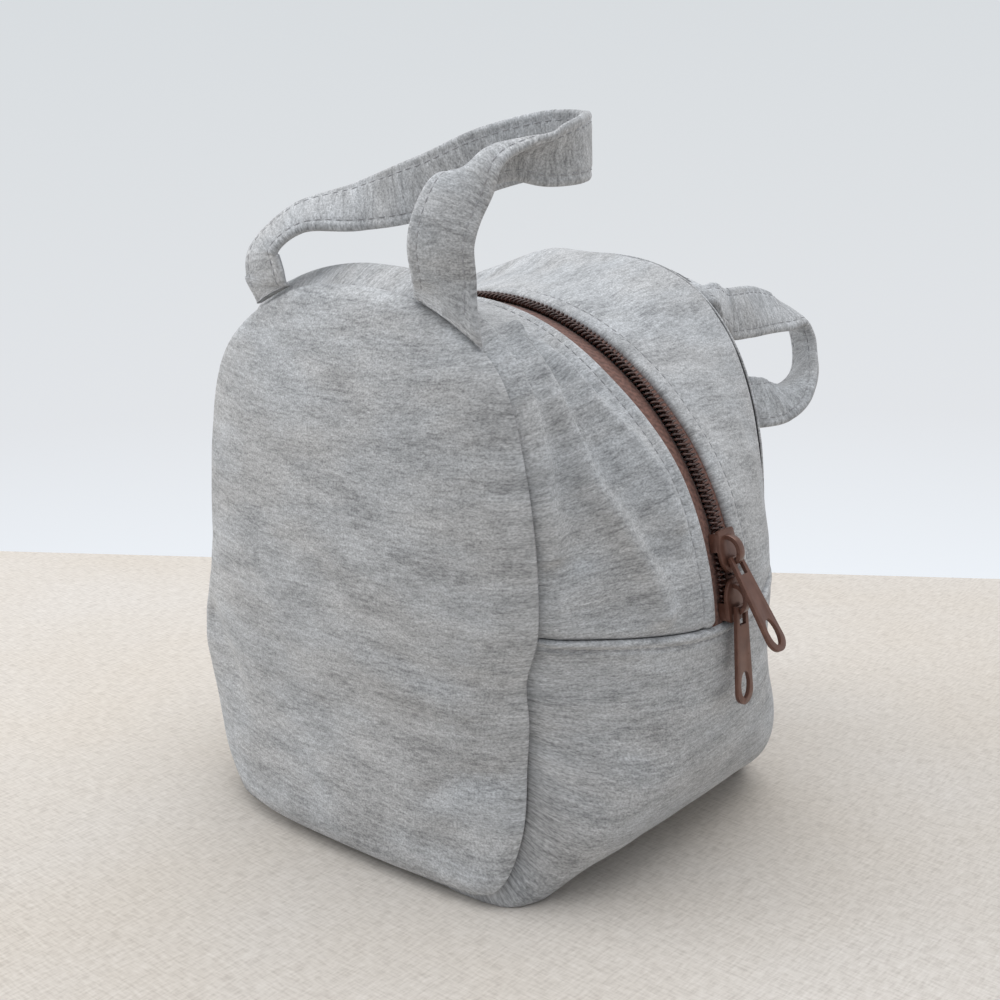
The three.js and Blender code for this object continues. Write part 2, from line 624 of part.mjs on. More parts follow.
// Strap stations from the right foot to the left: offsets from the middle of the seam at the height
// of the feet, with Y away from the bag, then the direction of the width at the inner edge and,
// where the strap curls, at the outer edge
const FRONT_STRAP = [
  [36.5, 1.1, 10, 0.9, -0.4, -0.2], [36.8, 2.2, 20, 0.85, -0.5, -0.1],
  [38.3, -2.7, 30.5, 0.88, -0.43, 0.22, 0.71, -0.65, -0.27],
  [40.9, -11.8, 39.9, 0.01, -0.22, 0.98, 0.91, -0.01, -0.42],
  [45.1, -20.3, 42.3, -0.1, -0.12, 0.99, 0.87, 0.37, -0.32],
  [49.1, -27.9, 41.6, -0.17, -0.19, 0.97, 0.79, 0.58, 0.2],
  [52.9, -35.6, 42.4, -0.17, -0.19, 0.97, -0.04, -0.05, 1], [49.4, -44.3, 43.5, -0.17, -0.19, 0.97],
  [37.8, -43.2, 43.7, 0, 0, 1], [21, -35, 39.5, -0.2, 0.1, 0.95], [4.4, -26.5, 32, -0.25, -0.05, 0.95],
  [-12.7, -17.7, 26.8, -0.61, -0.4, 0.69], [-28, -7, 23.1, -0.89, -0.4, 0.23],
  [-35.7, 0, 13.7, -0.97, -0.21, -0.11], [-34.8, 1.3, 6.2, -0.97, -0.06, -0.23],
];
const BACK_STRAP = [
  [36.6, 6.5, 0.5, 0.9, 0, -0.35], [38.3, 11.5, -4.5, 0.7, 0.05, -0.7],
  [39.2, 15, -9, 0.5, -0.1, -0.87], [38.6, 20, -11.9, 0.32, -0.21, -0.92],
  [40.4, 27, -12, 0.34, -0.24, -0.91], [41.1, 37, -13, 0.48, -0.36, -0.8],
  [43.2, 46, -15.2, 0.65, -0.51, -0.56], [44.9, 53, -18.4, 0.78, -0.61, -0.09],
  [46.6, 57, -24.2, 0.79, -0.6, 0.1], [48.1, 57, -31.6, 0.77, -0.59, 0.23],
  [49.8, 52, -38.4, 0.76, -0.65, 0.05], [50.5, 44, -42.6, 0.73, -0.65, -0.22],
  [49.6, 35, -44.4, 0.57, -0.47, -0.68], [47.7, 27, -44.3, 0.41, -0.29, -0.86],
  [34, 24.5, -45.2, 0.25, -0.25, -0.93], [15, 25, -47.5, 0, -0.3, -0.95], [-6, 25, -45, 0, -0.2, -0.98],
  [-24, 22, -37, -0.45, -0.1, -0.88], [-35, 17, -26, -0.85, -0.1, -0.5], [-38, 13, -14, -0.98, 0, -0.1],
  [-37.5, 9.5, -4, -0.95, 0, -0.3], [-36, 5.5, 1.5, -0.9, 0, -0.42],
];

// Height of the seam's arch
function archZ(x) {
  const up = (1 - power(x / SEAM_HALF_WIDTH, ARCH_POWER)) ** (1 / ARCH_POWER);
  return SPRING_Z + (CROWN_Z - SPRING_Z) * up;
}

// Place over the seam's arch at x, where a strap is sewn in, and the direction that the seam runs in
function seamPlace(x, sign) {
  const along = new THREE.Vector3(1, 0, archZ(x + 0.5) - archZ(x - 0.5)).normalize();
  const place = new THREE.Vector3(x - along.z * FOOT_GAP, sign * SEAM_Y, archZ(x) + along.x * FOOT_GAP);
  return { place, along: along.multiplyScalar(Math.sign(x)) };
}

// Offsets across a strap at the given lanes (-1 to 1), its direction turning from low to high
function laneOffsets(low, high, lanes) {
  const sums = [new THREE.Vector3()];
  for (let k = 0; k < LANE_STEPS; k++) {
    const turned = smoothStep((k + 0.5) / LANE_STEPS);
    const direction = low.clone().lerp(high, turned).normalize();
    sums.push(sums[k].clone().addScaledVector(direction, STRAP_WIDTH / LANE_STEPS));
  }
  const middle = sums[LANE_STEPS / 2];
  return lanes.map((w) => sums[Math.round((w + 1) / 2 * LANE_STEPS)].clone().sub(middle));
}

function strap(name, sign, stations) {
  const right = seamPlace(HANDLE_FOOT_X, sign);
  const left = seamPlace(-HANDLE_FOOT_X, sign);
  const centres = [right.place];
  const lows = [right.along];
  const highs = [right.along];
  for (const [x, y, z, lx, ly, lz, hx = lx, hy = ly, hz = lz] of stations) {
    centres.push(new THREE.Vector3(x, sign * (SEAM_Y + y), right.place.z + z));
    lows.push(new THREE.Vector3(lx, sign * ly, lz).normalize());
    highs.push(new THREE.Vector3(hx, sign * hy, hz).normalize());
  }
  centres.push(left.place);
  lows.push(left.along);
  highs.push(left.along);
  const path = new THREE.CatmullRomCurve3(centres);
  const low = new THREE.CatmullRomCurve3(lows);
  const high = new THREE.CatmullRomCurve3(highs);
  const positions = [];
  const index = [];
  for (let i = 0; i <= STRAP_STEPS; i++) {
    const t = i / STRAP_STEPS;
    const centre = path.getPoint(t);
    const along = path.getTangent(t);
    const free = (v) => v.addScaledVector(along, -v.dot(along)).normalize();
    const loose = smoothStep(Math.min(t, 1 - t) / FOOT_BLEND);
    const offsets = laneOffsets(free(low.getPoint(t)), free(high.getPoint(t)), STRAP_LANES);
    const end = t < 0.5 ? right : left;
    offsets.forEach((offset, k) => {
      const x = Math.sign(end.place.x) * (HANDLE_FOOT_X + STRAP_LANES[k] * FOOT_HALF);
      offset.lerp(seamPlace(x, sign).place.sub(end.place), 1 - loose);
    });
    const last = offsets.length - 1;
    const thick = offsets.map((_, k) => {
      const across = offsets[Math.min(k + 1, last)].clone().sub(offsets[Math.max(k - 1, 0)]);
      const out = across.cross(along).normalize().lerp(new THREE.Vector3(0, -1, 0), 1 - loose);
      return out.setLength(STRAP_THICK * (k === 0 || k === last ? STRAP_EDGE : 0.5));
    });
    const upper = offsets.map((offset, k) => centre.clone().add(offset).add(thick[k]));
    const under = offsets.map((offset, k) => centre.clone().add(offset).sub(thick[k]));
    for (const point of [...upper, ...under.reverse()]) positions.push(...point.toArray());
  }
  const n = 2 * STRAP_LANES.length;
  for (let i = 0; i < STRAP_STEPS; i++) {
    for (let k = 0; k < n; k++) {
      const a = i * n + k;
      const b = i * n + (k + 1) % n;
      index.push(a, b, b + n, a, b + n, a + n);
    }
  }
  for (let k = 0; k < STRAP_LANES.length - 1; k++) {
    const cap = [k, n - 1 - k, k + 1, k + 1, n - 1 - k, n - 2 - k];
    index.push(...cap, ...cap.map((corner) => STRAP_STEPS * n + corner).reverse());
  }
  add(name, facingOut(positions, index), JERSEY);
}

lowerGusset();
for (const [side, sign] of [['front', -1], ['back', 1]]) {
  facePanel(side, sign);
  zipGusset(side, sign);
  chain(side, sign);
}
slider('upper', UPPER_SLIDER_ANGLE, -1, UPPER_PULL_TILT);
slider('lower', LOWER_SLIDER_ANGLE, 1, LOWER_PULL_TILT);
strap('front_handle', -1, FRONT_STRAP);
strap('back_handle', 1, BACK_STRAP);

export default bag;
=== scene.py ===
# %% [markdown]
# # A soft lunch bag in heathered jersey
# The bag is a small padded pouch: two arch-topped face panels joined by a gusset, a coil zip that
# runs over the arch, and two strap handles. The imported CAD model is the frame: it fixes where each
# piece is and how it moves. Every soft piece is built again here as a fuller, folded surface.

import bmesh
import bpy
import numpy as np
from mathutils import Matrix, Vector


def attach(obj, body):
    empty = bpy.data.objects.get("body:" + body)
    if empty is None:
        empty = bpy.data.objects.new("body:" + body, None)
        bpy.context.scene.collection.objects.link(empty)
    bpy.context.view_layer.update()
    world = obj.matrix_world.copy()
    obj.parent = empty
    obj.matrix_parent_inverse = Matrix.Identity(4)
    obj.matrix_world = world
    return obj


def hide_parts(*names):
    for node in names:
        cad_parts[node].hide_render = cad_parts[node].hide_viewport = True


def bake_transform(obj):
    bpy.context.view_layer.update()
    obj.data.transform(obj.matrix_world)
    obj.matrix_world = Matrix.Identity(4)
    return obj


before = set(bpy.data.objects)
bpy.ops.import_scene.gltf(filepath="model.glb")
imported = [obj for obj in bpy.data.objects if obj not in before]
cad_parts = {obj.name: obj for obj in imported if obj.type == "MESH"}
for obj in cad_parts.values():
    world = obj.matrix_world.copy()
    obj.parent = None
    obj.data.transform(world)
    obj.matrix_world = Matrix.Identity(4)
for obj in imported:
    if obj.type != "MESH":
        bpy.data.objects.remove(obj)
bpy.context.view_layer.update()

# %% [markdown]
# ## Camera
# The camera stands where the photographer stood. It could be set by eye, but its direction,
# distance and slight roll were solved from the bag's outline, so that a point of the frame falls
# on its own place in the picture.


# %% Camera
def linked(name, data):
    """Object with this data, at the origin and in the scene."""
    made = bpy.data.objects.new(name, data)
    bpy.context.scene.collection.objects.link(made)
    return made


CAMERA_PLACE = np.array([0.29680, -0.33968, 0.21503])
azimuth, elevation, roll = np.radians([40.77, 14.88, -0.84])
level = np.array([np.cos(azimuth), np.sin(azimuth), 0])
back = np.array([
    np.sin(azimuth) * np.cos(elevation),
    -np.cos(azimuth) * np.cos(elevation),
    np.sin(elevation),
])
upright = np.cross(back, level)
axes = Matrix.Identity(4)
axes.col[0][:3] = np.cos(roll) * level + np.sin(roll) * upright
axes.col[1][:3] = -np.sin(roll) * level + np.cos(roll) * upright
axes.col[2][:3] = back
axes.col[3][:3] = CAMERA_PLACE
camera = linked("camera", bpy.data.cameras.new("camera"))
camera.matrix_world = axes
camera.data.lens = 52.33
camera.data.sensor_width = 36
camera.data.clip_start, camera.data.clip_end = 0.02, 20
bpy.context.scene.camera = camera
print("camera at", [round(v, 3) for v in camera.location])

# %% [markdown]
# ## Sizes
# These are the frame's own sizes in millimetres. They could be measured on its solids, but a soft
# surface needs the curves behind them, and these few numbers say the curves exactly. Only the
# finished points are turned into metres.

# %% Sizes
MM = 0.001
SIDES = (("front", -1), ("back", 1))
SEAM_HALF_WIDTH, SPRING_Z, CROWN_Z, ARCH_POWER = 67, 80, 170, 2.56
BASE_SEAM_Z, SIDE_POWER, SEAM_Y = 5, 6, 58
PANEL_BULGE, BULGE_POWER, BULGE_EDGE = 15, 2.5, 0.75
ZIP_RADIUS, ZIP_Z, LOWER_POWER, BASE_SWELL = 90, 71, 3.4, 5
BASE_BOW, BOW_TOP_Z = 13, 50
CROSS_SEAM_Z, CROSS_SEAM_DIP, REVEAL = 79, 5, 6.2
CLOTH, LINING, SHEET_GAP, GAP = 1.3, 3.2, 0.4, 0.3
CLOTH_RADIUS = ZIP_RADIUS + 0.4
CLOTH_END = SEAM_Y - CLOTH / 2 - GAP
UNDER_CLOTH = CLOTH + SHEET_GAP
HINGE_Z = 81
AXIS_Y = SEAM_Y + CLOTH / 2 + PANEL_BULGE + GAP / 2
TAPE_INNER, TAPE_OUTER, TAPE_THICK = 1.6, 14, 0.6
print("seam", 2 * SEAM_HALF_WIDTH, "mm wide, crown", CROWN_Z, "mm high, depth", 2 * SEAM_Y, "mm")

# %% [markdown]
# ## Meshes from grids
# Cloth is a sheet, so every soft piece is a grid of points, with one parameter across it and one
# along it. A subdivided box could be pulled into shape by hand, but a grid keeps its map of the
# cloth, and whole arrays are worked out at once. A closed sheet is two grids and a rim between
# their borders; the sign of its volume tells which way the faces point.


# %% Number helpers
def smooth_step(value):
    """0 below 0, 1 above 1, and a soft S between them."""
    t = np.clip(value, 0, 1)
    return t * t * (3 - 2 * t)


def unit(vectors):
    """Vectors of length one."""
    return vectors / np.linalg.norm(vectors, axis=-1, keepdims=True)


def length_along(path):
    """Length of a path up to each of its points: the sum of the steps before it."""
    return np.concatenate([[0], np.cumsum(np.linalg.norm(np.diff(path, axis=0), axis=1))])


print("soft S at a quarter", smooth_step(0.25))


# %% Grid helpers
def quads_of(index):
    """Quads of a grid of vertex numbers: each joins four neighbours."""
    corners = (index[:-1, :-1], index[:-1, 1:], index[1:, 1:], index[1:, :-1])
    return np.stack(corners, -1).reshape(-1, 4)


def signed_volume(points, quads):
    """Sum of the tetrahedra between the origin and both triangles of every quad."""
    a, b, c, d = (points[quads[:, k]] for k in range(4))
    return (np.einsum("ij,ij->", a, np.cross(b, c)) + np.einsum("ij,ij->", a, np.cross(c, d))) / 6


print("a grid of 3 by 4 points has", len(quads_of(np.arange(12).reshape(3, 4))), "quads")


# %% Closed surfaces
def make_object(name, points, faces, uv=None):
    """Smooth mesh object at the origin from millimetre points, with its map of the cloth."""
    mesh = bpy.data.meshes.new(name)
    mesh.from_pydata((points * MM).tolist(), [], faces)
    if uv is not None:
        layer = mesh.uv_layers.new(name="cloth")
        corner = np.zeros(len(mesh.loops), np.int32)
        mesh.loops.foreach_get("vertex_index", corner)
        layer.data.foreach_set("uv", (uv[corner] * MM).astype(np.float32).ravel())
    mesh.shade_smooth()
    print(name, len(faces), "faces")
    return linked(name, mesh)


def closed_sheet(name, outer, inner, uv):
    """Closed sheet: the outer grid, the inner grid, and a rim of quads round their border."""
    rows, columns = outer.shape[:2]
    index = np.arange(rows * columns).reshape(rows, columns)
    border = np.concatenate([index[0, :-1], index[:-1, -1], index[-1, :0:-1], index[:0:-1, 0]])
    ahead = np.roll(border, -1)
    below = rows * columns
    rim = np.stack([border, border + below, ahead + below, ahead], -1)
    quads = np.concatenate([quads_of(index), quads_of(index)[:, ::-1] + below, rim])
    points = np.concatenate([outer.reshape(-1, 3), inner.reshape(-1, 3)])
    if signed_volume(points, quads) < 0:
        quads = quads[:, ::-1]
    return make_object(name, points, quads.tolist(), np.tile(uv.reshape(-1, 2), (2, 1)))


def tube(rings):
    """Points and faces of a closed tube: rings joined side by side, and a fan over each end."""
    count, around = rings.shape[:2]
    index = np.arange(count * around).reshape(count, around)
    walls = quads_of(np.concatenate([index, index[:, :1]], 1))
    fans = []
    for ring, centre, turn in ((index[0], index.size, 1), (index[-1], index.size + 1, -1)):
        fans.append(np.stack([ring, np.roll(ring, -1), np.full(around, centre)], -1)[:, ::turn])
    fans = np.concatenate(fans)
    points = np.concatenate([rings.reshape(-1, 3), [rings[0].mean(0), rings[-1].mean(0)]])
    if signed_volume(points, walls) < 0:
        walls, fans = walls[:, ::-1], fans[:, ::-1]
    return points, walls.tolist() + fans.tolist()


print("a tube of 5 rings of 6 points has", len(tube(np.ones((5, 6, 3)))[1]), "faces")

# %% [markdown]
# ## The two outlines
# The gusset runs between two outlines: the seam round a face panel, and a rounder line in the
# middle of the bag that the zip follows. Splines could trace both, but superellipses go from round
# to square with one power. A point is found by its direction from the zip arc's centre, so each
# outline becomes a table of distances.

# %% Outlines
HALVINGS, TOO_FAR, TABLE_SIZE = 34, 340.0, 4001


def inside_seam(x, z):
    """Whether a point is inside the seam: a superellipse arch on top of a squarer one."""
    across, up = abs(x / SEAM_HALF_WIDTH), abs(z - SPRING_Z)
    high = across ** ARCH_POWER + (up / (CROWN_Z - SPRING_Z)) ** ARCH_POWER
    low = across ** SIDE_POWER + (up / (SPRING_Z - BASE_SEAM_Z)) ** SIDE_POWER
    return np.where(z > SPRING_Z, high, low) < 1


def inside_middle(x, z):
    """Whether a point is inside the middle line: the zip's arc over a squarer curve."""
    high = (x ** 2 + (z - ZIP_Z) ** 2) / CLOTH_RADIUS ** 2
    below = abs((ZIP_Z - z) / (ZIP_Z + BASE_SWELL))
    low = abs(x / CLOTH_RADIUS) ** LOWER_POWER + below ** LOWER_POWER
    return np.where(z > ZIP_Z, high, low) < 1


def largest(test, low, high):
    """Largest value that still passes a test, by halving arrays of bounds."""
    for _ in range(HALVINGS):
        middle = (low + high) / 2
        good = test(middle)
        low, high = np.where(good, middle, low), np.where(good, high, middle)
    return low


def reach_of(inside):
    """Function that reads an outline's distance from the arc's centre in direction phi."""
    directions = np.linspace(-np.pi, np.pi, TABLE_SIZE)
    test = lambda r: inside(r * np.cos(directions), ZIP_Z + r * np.sin(directions))
    table = largest(test, np.zeros(TABLE_SIZE), np.full(TABLE_SIZE, TOO_FAR))
    return lambda phi: np.interp((phi + np.pi) % (2 * np.pi) - np.pi, directions, table)


seam_reach, middle_reach = reach_of(inside_seam), reach_of(inside_middle)
print("seam reach", seam_reach(np.array([0, np.pi / 2])).round(2), "mm to the right and up")

# %% Gusset face
FALL, LESS_AT_TOP, MORE_AT_BASE = 2, 0.7, 26
BOW_POWER, LESS_AT_CORNERS = 1.5, 0.55


def outward(y):
    """Share of the way from the zip gusset's fold to the seam."""
    return np.clip((abs(y) - REVEAL) / (SEAM_Y - REVEAL), 0, None)


def seam_bow(x, z):
    """How far the bottom seam bows out: most in the middle of the base, none above its top."""
    low = np.clip((BOW_TOP_Z - z) / (BOW_TOP_Z - BASE_SEAM_Z), 0, 1)
    return BASE_BOW * low ** BOW_POWER * (1 - LESS_AT_CORNERS * abs(x / SEAM_HALF_WIDTH) ** 3)


def gusset_face(phi, y):
    """Point of the gusset's outer face: from the middle line to the seam with a bent fall."""
    rise = np.sin(phi)
    fall = np.where(rise > 0, FALL - LESS_AT_TOP * rise, FALL + MORE_AT_BASE * abs(rise) ** 3)
    seam = seam_reach(phi)
    share = np.minimum(1, outward(y) / outward(CLOTH_END))
    r = seam + (middle_reach(phi) - seam) * (1 - share ** fall)
    shift = seam_bow(seam * np.cos(phi), ZIP_Z + seam * np.sin(phi)) * y / CLOTH_END
    return np.stack([r * np.cos(phi), y + shift, np.maximum(0, ZIP_Z + r * np.sin(phi))], -1)


def gusset_outward(phi, y):
    """Unit normal of the gusset's face, from its slopes along and across."""
    turn, shift = np.radians(1.5), 1.0
    along = gusset_face(phi + turn, y) - gusset_face(phi - turn, y)
    across = gusset_face(phi, y + shift) - gusset_face(phi, y - shift)
    return unit(-np.cross(along, across))


def angle_at(height, y):
    """Direction in which the gusset's face at depth y reaches a height on the right side."""
    test = lambda t: gusset_face(t, y)[..., 2] < height
    shape = np.broadcast(height, y).shape
    return largest(test, np.full(shape, np.radians(-20)), np.full(shape, np.radians(90)))


def cross_seam_z(y):
    """Height of the cross seam: it dips a little towards the zip."""
    return CROSS_SEAM_Z - CROSS_SEAM_DIP * (1 - np.minimum(1, outward(y)))


print("top of the arch", gusset_face(np.pi / 2, 0.0).round(2), "mm")

# %% [markdown]
# ## Slump
# A bag that stands isn't as tidy as its pattern: its shoulders are full, its lower sides fall in
# and its bottom edges sag onto the table. A cloth simulation wouldn't stop at the photograph's
# shape, so the same few soft pushes move every piece of cloth, and the layers stay apart.

# %% Slump
SETTLED = [
    # middle of the place, its reach and how far the cloth there moves, all in millimetres
    ((48, -60, 143), (16, 18, 18), (2.4, 0.0, 2.8)),
    ((-50, -60, 143), (16, 18, 18), (-2.0, 0.0, 2.2)),
    ((66, -60, 66), (12, 16, 9), (-3.2, 0.0, 0.0)),
    ((60, -62, 44), (16, 22, 20), (-4.2, 0.0, 0.0)),
    ((54, -68, 7), (12, 14, 11), (4.5, -1.5, -2.5)),
    ((-66, -62, 52), (14, 30, 22), (-8.0, 0.0, 0.0)),
    ((-66, -30, 132), (24, 34, 22), (-2.0, 0.0, 0.5)),
    ((60, 0, 45), (30, 60, 26), (-1.5, 0.0, 0.0)),
    ((66, 34, 38), (14, 34, 26), (-4.5, 0.0, 0.0)),
]
SAG_DEPTH, SAG_HEIGHT, SAG_FROM, SAG_WIDTH = 4.0, 9.0, 40, 16


def settled(grid):
    """Moves points of the cloth by soft pushes, and lets the bottom edges sag onto the table."""
    moved = grid.copy()
    for middle, size, push in SETTLED:
        away = np.sum(((grid - middle) / size) ** 2, -1)
        moved += np.exp(-away)[..., None] * push
    near_edge = smooth_step((abs(grid[..., 1]) - SAG_FROM) / SAG_WIDTH)
    drop = SAG_DEPTH * np.exp(-(grid[..., 2] / SAG_HEIGHT) ** 2) * near_edge
    moved[..., 2] -= np.minimum(drop, np.maximum(0, grid[..., 2] - 0.8))
    moved[..., 2] = np.maximum(moved[..., 2], 0)
    return moved


near_shoulder = np.array([48.0, -60, 143])
print("near shoulder moves", (settled(near_shoulder[None])[0] - near_shoulder).round(2), "mm")

# %% [markdown]
# ## Folds
# Cloth that is sewn along its edges puffs between the seams, dips at each stitch line and creases
# where it bends twice. A bump map would leave the outline straight, so each fold is a soft ridge
# or valley along a short line, added to the face along its normal.

# %% Fold helpers
LATTICE = 64


def noise(u, v, size, seed):
    """Smooth value noise between -1 and 1: random heights on a lattice, blended by S curves."""
    table = np.random.default_rng(seed).uniform(-1, 1, (LATTICE, LATTICE))
    a, b = np.asarray(u) / size, np.asarray(v) / size
    i, j = np.floor(a).astype(int), np.floor(b).astype(int)
    s, t = smooth_step(a - i), smooth_step(b - j)
    pick = lambda di, dj: table[(i + di) % LATTICE, (j + dj) % LATTICE]
    low = pick(0, 0) * (1 - s) + pick(1, 0) * s
    high = pick(0, 1) * (1 - s) + pick(1, 1) * s
    return low * (1 - t) + high * t


def fold(u, v, line, width, height):
    """Height of a soft ridge along a line of (u, v) points, fading at its ends."""
    line = np.array(line, float)
    best = np.full(np.shape(u), 1e9)
    for start, end in zip(line[:-1], line[1:]):
        step = end - start
        share = np.clip(((u - start[0]) * step[0] + (v - start[1]) * step[1]) / (step @ step), 0, 1)
        away = (u - start[0] - share * step[0]) ** 2 + (v - start[1] - share * step[1]) ** 2
        best = np.minimum(best, away)
    return height * np.exp(-best / width ** 2)


def folded(u, v, folds):
    """Heights of all the listed folds together."""
    return sum(fold(u, v, line, width, height) for line, width, height in folds)


def dip(distance, depth, width):
    """Groove beside a seam: deepest at the seam and gone at its width."""
    return -depth * np.clip(1 - distance / width, 0, 1) ** 2


def quilted(distance, depth, width):
    """Narrow valley that a line of stitches pulls into cloth."""
    return -depth * np.exp(-(distance / width) ** 2)


print("3 mm beside a fold 2 mm high:", fold(0.0, 3.0, [(-9, 0), (9, 0)], 4, 2.0).round(2), "mm")

# %% [markdown]
# ## Face panels
# A face panel is one padded cushion of jersey that swells from its seam. The lines of an inflated
# disc would all meet in its middle, so a square grid is bent into the outline instead: its lines
# run with the cloth and crowd towards the seam, where the face turns down.

# %% Panel face
PANEL_INSET, CROWDING = 0.6, 0.55


def crowded(count):
    """Values from -1 to 1 that crowd towards both ends."""
    t = np.linspace(-1, 1, count)
    return t + CROWDING * np.sin(np.pi * t) / np.pi


def bent_grid(columns, rows, inset):
    """Square grid bent into the seam outline: x, z, the share of the way to it and direction."""
    a, b = np.meshgrid(crowded(columns), crowded(rows))
    p, q = a * np.sqrt(1 - b ** 2 / 2), b * np.sqrt(1 - a ** 2 / 2)
    share, phi = np.hypot(p, q), np.arctan2(q, p)
    r = share * (seam_reach(phi) - inset)
    return r * np.cos(phi), ZIP_Z + r * np.sin(phi), share, phi


def half_width(z):
    """Half width of the panel at a height."""
    test = lambda x: inside_seam(x, z)
    return largest(test, np.zeros_like(z), np.full_like(z, 140.0))


def panel_bulge(x, z):
    """How far the panel swells: all of it in the middle, none at the seam."""
    middle = (CROWN_Z + BASE_SEAM_Z) / 2
    across = 1 - np.minimum(1, abs(x) / np.maximum(1e-6, half_width(z))) ** BULGE_POWER
    up = 1 - abs((z - middle) / (middle - BASE_SEAM_Z)) ** BULGE_POWER
    return PANEL_BULGE * np.clip(across * up, 0, None) ** BULGE_EDGE


def panel_depth(x, z):
    """Depth of the panel's outer face: that of its seam, with its bow, and the bulge."""
    return SEAM_Y + CLOTH / 2 + seam_bow(x, z) + panel_bulge(x, z)


print("deepest panel", round(float(panel_depth(0.0, np.array(87.5))), 2), "mm from the middle")

# %% Panels
FRONT_FOLDS = [
    # line of (x, z) points, width and height in millimetres
    ([(-40, 150), (-20, 138), (0, 132)], 9, 0.9),
    ([(28, 160), (40, 142), (50, 126)], 6, 0.9),
    ([(56, 66), (38, 67), (26, 70)], 4, -0.8),
    ([(52, 58), (30, 60), (8, 68)], 5, 0.8),
    ([(63, 38), (48, 37), (36, 30)], 3.5, -1.0),
    ([(58, 30), (44, 27), (34, 20)], 4, 0.7),
    ([(-60, 60), (-55, 52), (-51, 44)], 5, -2.4),
    ([(44, 148), (54, 128), (59, 104), (60, 84)], 4, 1.0),
]
BACK_FOLDS = [
    ([(40, 150), (20, 140), (-4, 136)], 9, 0.8),
    ([(-30, 24), (-46, 34), (-54, 50)], 6, -0.8),
    ([(50, 60), (30, 66), (10, 60)], 10, -0.8),
]


def panel_height(x, z, share, phi, folds, seed):
    """Sunk seam, puckers beside it, broad softness and the listed folds."""
    distance = (1 - share) * seam_reach(phi)
    puckers = 0.35 * noise(phi * 75, distance * 0.3, 7, seed) * np.exp(-distance / 6)
    soft = 0.5 * noise(x, z, 26, seed + 1) + 0.25 * noise(x, z, 11, seed + 2)
    soft += folded(x, z, folds)
    height = dip(distance, 1.5, 4.0) + puckers * np.clip(distance / 1.5, 0, 1)
    return height + soft * smooth_step(distance / 7)


def face_panel(side, sign, folds, seed):
    """Outer jersey of a panel, with its inner face a cloth's thickness behind."""
    x, z, share, phi = bent_grid(150, 180, PANEL_INSET)
    y = panel_depth(x, z) + panel_height(x, z, share, phi, folds, seed)
    behind = np.maximum(y - CLOTH, np.minimum(y - 0.4, SEAM_Y - 0.75 + seam_bow(x, z)))
    outer, inner = (settled(np.stack([x, sign * depth, z], -1)) for depth in (y, behind))
    return closed_sheet(f"{side}_face_panel", outer, inner, np.stack([x, z], -1))


panels = {side: face_panel(side, sign, folds, seed) for (side, sign), folds, seed
          in zip(SIDES, (FRONT_FOLDS, BACK_FOLDS), (3, 17))}

# %% [markdown]
# ## Topstitching
# Thread dips into the cloth at every needle hole. A texture could draw it, but from close by a
# real stitch catches the light, so each one is a short bent capsule. One mesh holds a whole row,
# because hundreds of objects would be slow.

# %% Stitches
STITCH_PITCH, STITCH_LENGTH, THREAD_RADIUS, THREAD_SIDES = 3.1, 2.4, 0.21, 6
STITCH_SHARES = np.array([0, 0.15, 0.5, 0.85, 1])
STITCH_WIDTHS = THREAD_RADIUS * np.array([0.45, 0.9, 1.0, 0.9, 0.45])
STITCH_RISES = THREAD_RADIUS * np.array([-1.0, 0.1, 0.55, 0.1, -1.0])


def stitch_rings(path, normal):
    """Rings of the stitches on a path: stitch, station along it and point round the thread."""
    far = length_along(path)
    starts = np.arange(0.5, far[-1] - STITCH_LENGTH, STITCH_PITCH)
    s = starts[:, None] + STITCH_LENGTH * STITCH_SHARES
    at = lambda values, s: np.stack([np.interp(s, far, values[:, k]) for k in range(3)], -1)
    up = at(normal, s)
    aside = unit(np.cross(unit(at(path, s + 0.2) - at(path, s - 0.2)), up))
    middle = at(path, s) + up * STITCH_RISES[:, None]
    turn = np.linspace(0, 2 * np.pi, THREAD_SIDES, endpoint=False)[:, None]
    way = np.cos(turn) * aside[:, :, None] + np.sin(turn) * up[:, :, None]
    return middle[:, :, None] + STITCH_WIDTHS[:, None, None] * way


def stitches(name, lines):
    """Rows of thread: each stitch is a short bent capsule that lies on (path, normal)."""
    rings = np.concatenate([stitch_rings(*line) for line in lines])
    index = np.arange(rings[..., 0].size).reshape(rings.shape[:3])
    ahead = np.roll(index, -1, axis=2)
    walls = np.stack([index[:, :-1], index[:, 1:], ahead[:, 1:], ahead[:, :-1]], -1).reshape(-1, 4)
    ends = np.concatenate([index[:, 0], index[:, -1, ::-1]])
    points, one = rings.reshape(-1, 3), index[0].size
    if signed_volume(points[:one] - points[:one].mean(0), walls[:one - THREAD_SIDES]) < 0:
        walls, ends = walls[:, ::-1], ends[:, ::-1]
    return make_object(name, points, walls.tolist() + ends.tolist())


print("thread", 2 * THREAD_RADIUS, "mm thick, a stitch every", STITCH_PITCH, "mm")

# %% [markdown]
# ## Zip gussets
# The gusset is three strips: one on each side of the zip, and one that runs down the right side,
# under the base and up the left side. Next to the zip the cloth is folded under and topstitched. A
# bevel would make that edge hard, so it is a quarter round roll with a stitched valley behind.

# %% Gusset heights
STITCH_FROM_FOLD, STITCH_FROM_CROSS = {-1: 4.8, 1: 6.5}, 2.7
FOLD_DEPTH, FOLD_PULL = {-1: 7.2, 1: 6.0}, {-1: 3.0, 1: -0.9}
SUNK, DEEPEST = {-1: 2.5, 1: 0.8}, -2.6
ARC_SCALE, GUSSET_LENGTH, ROLL = 88, 276, 1.2


def arc_length(phi):
    """Rough length along the gusset, for patterns that run along it."""
    return phi * ARC_SCALE


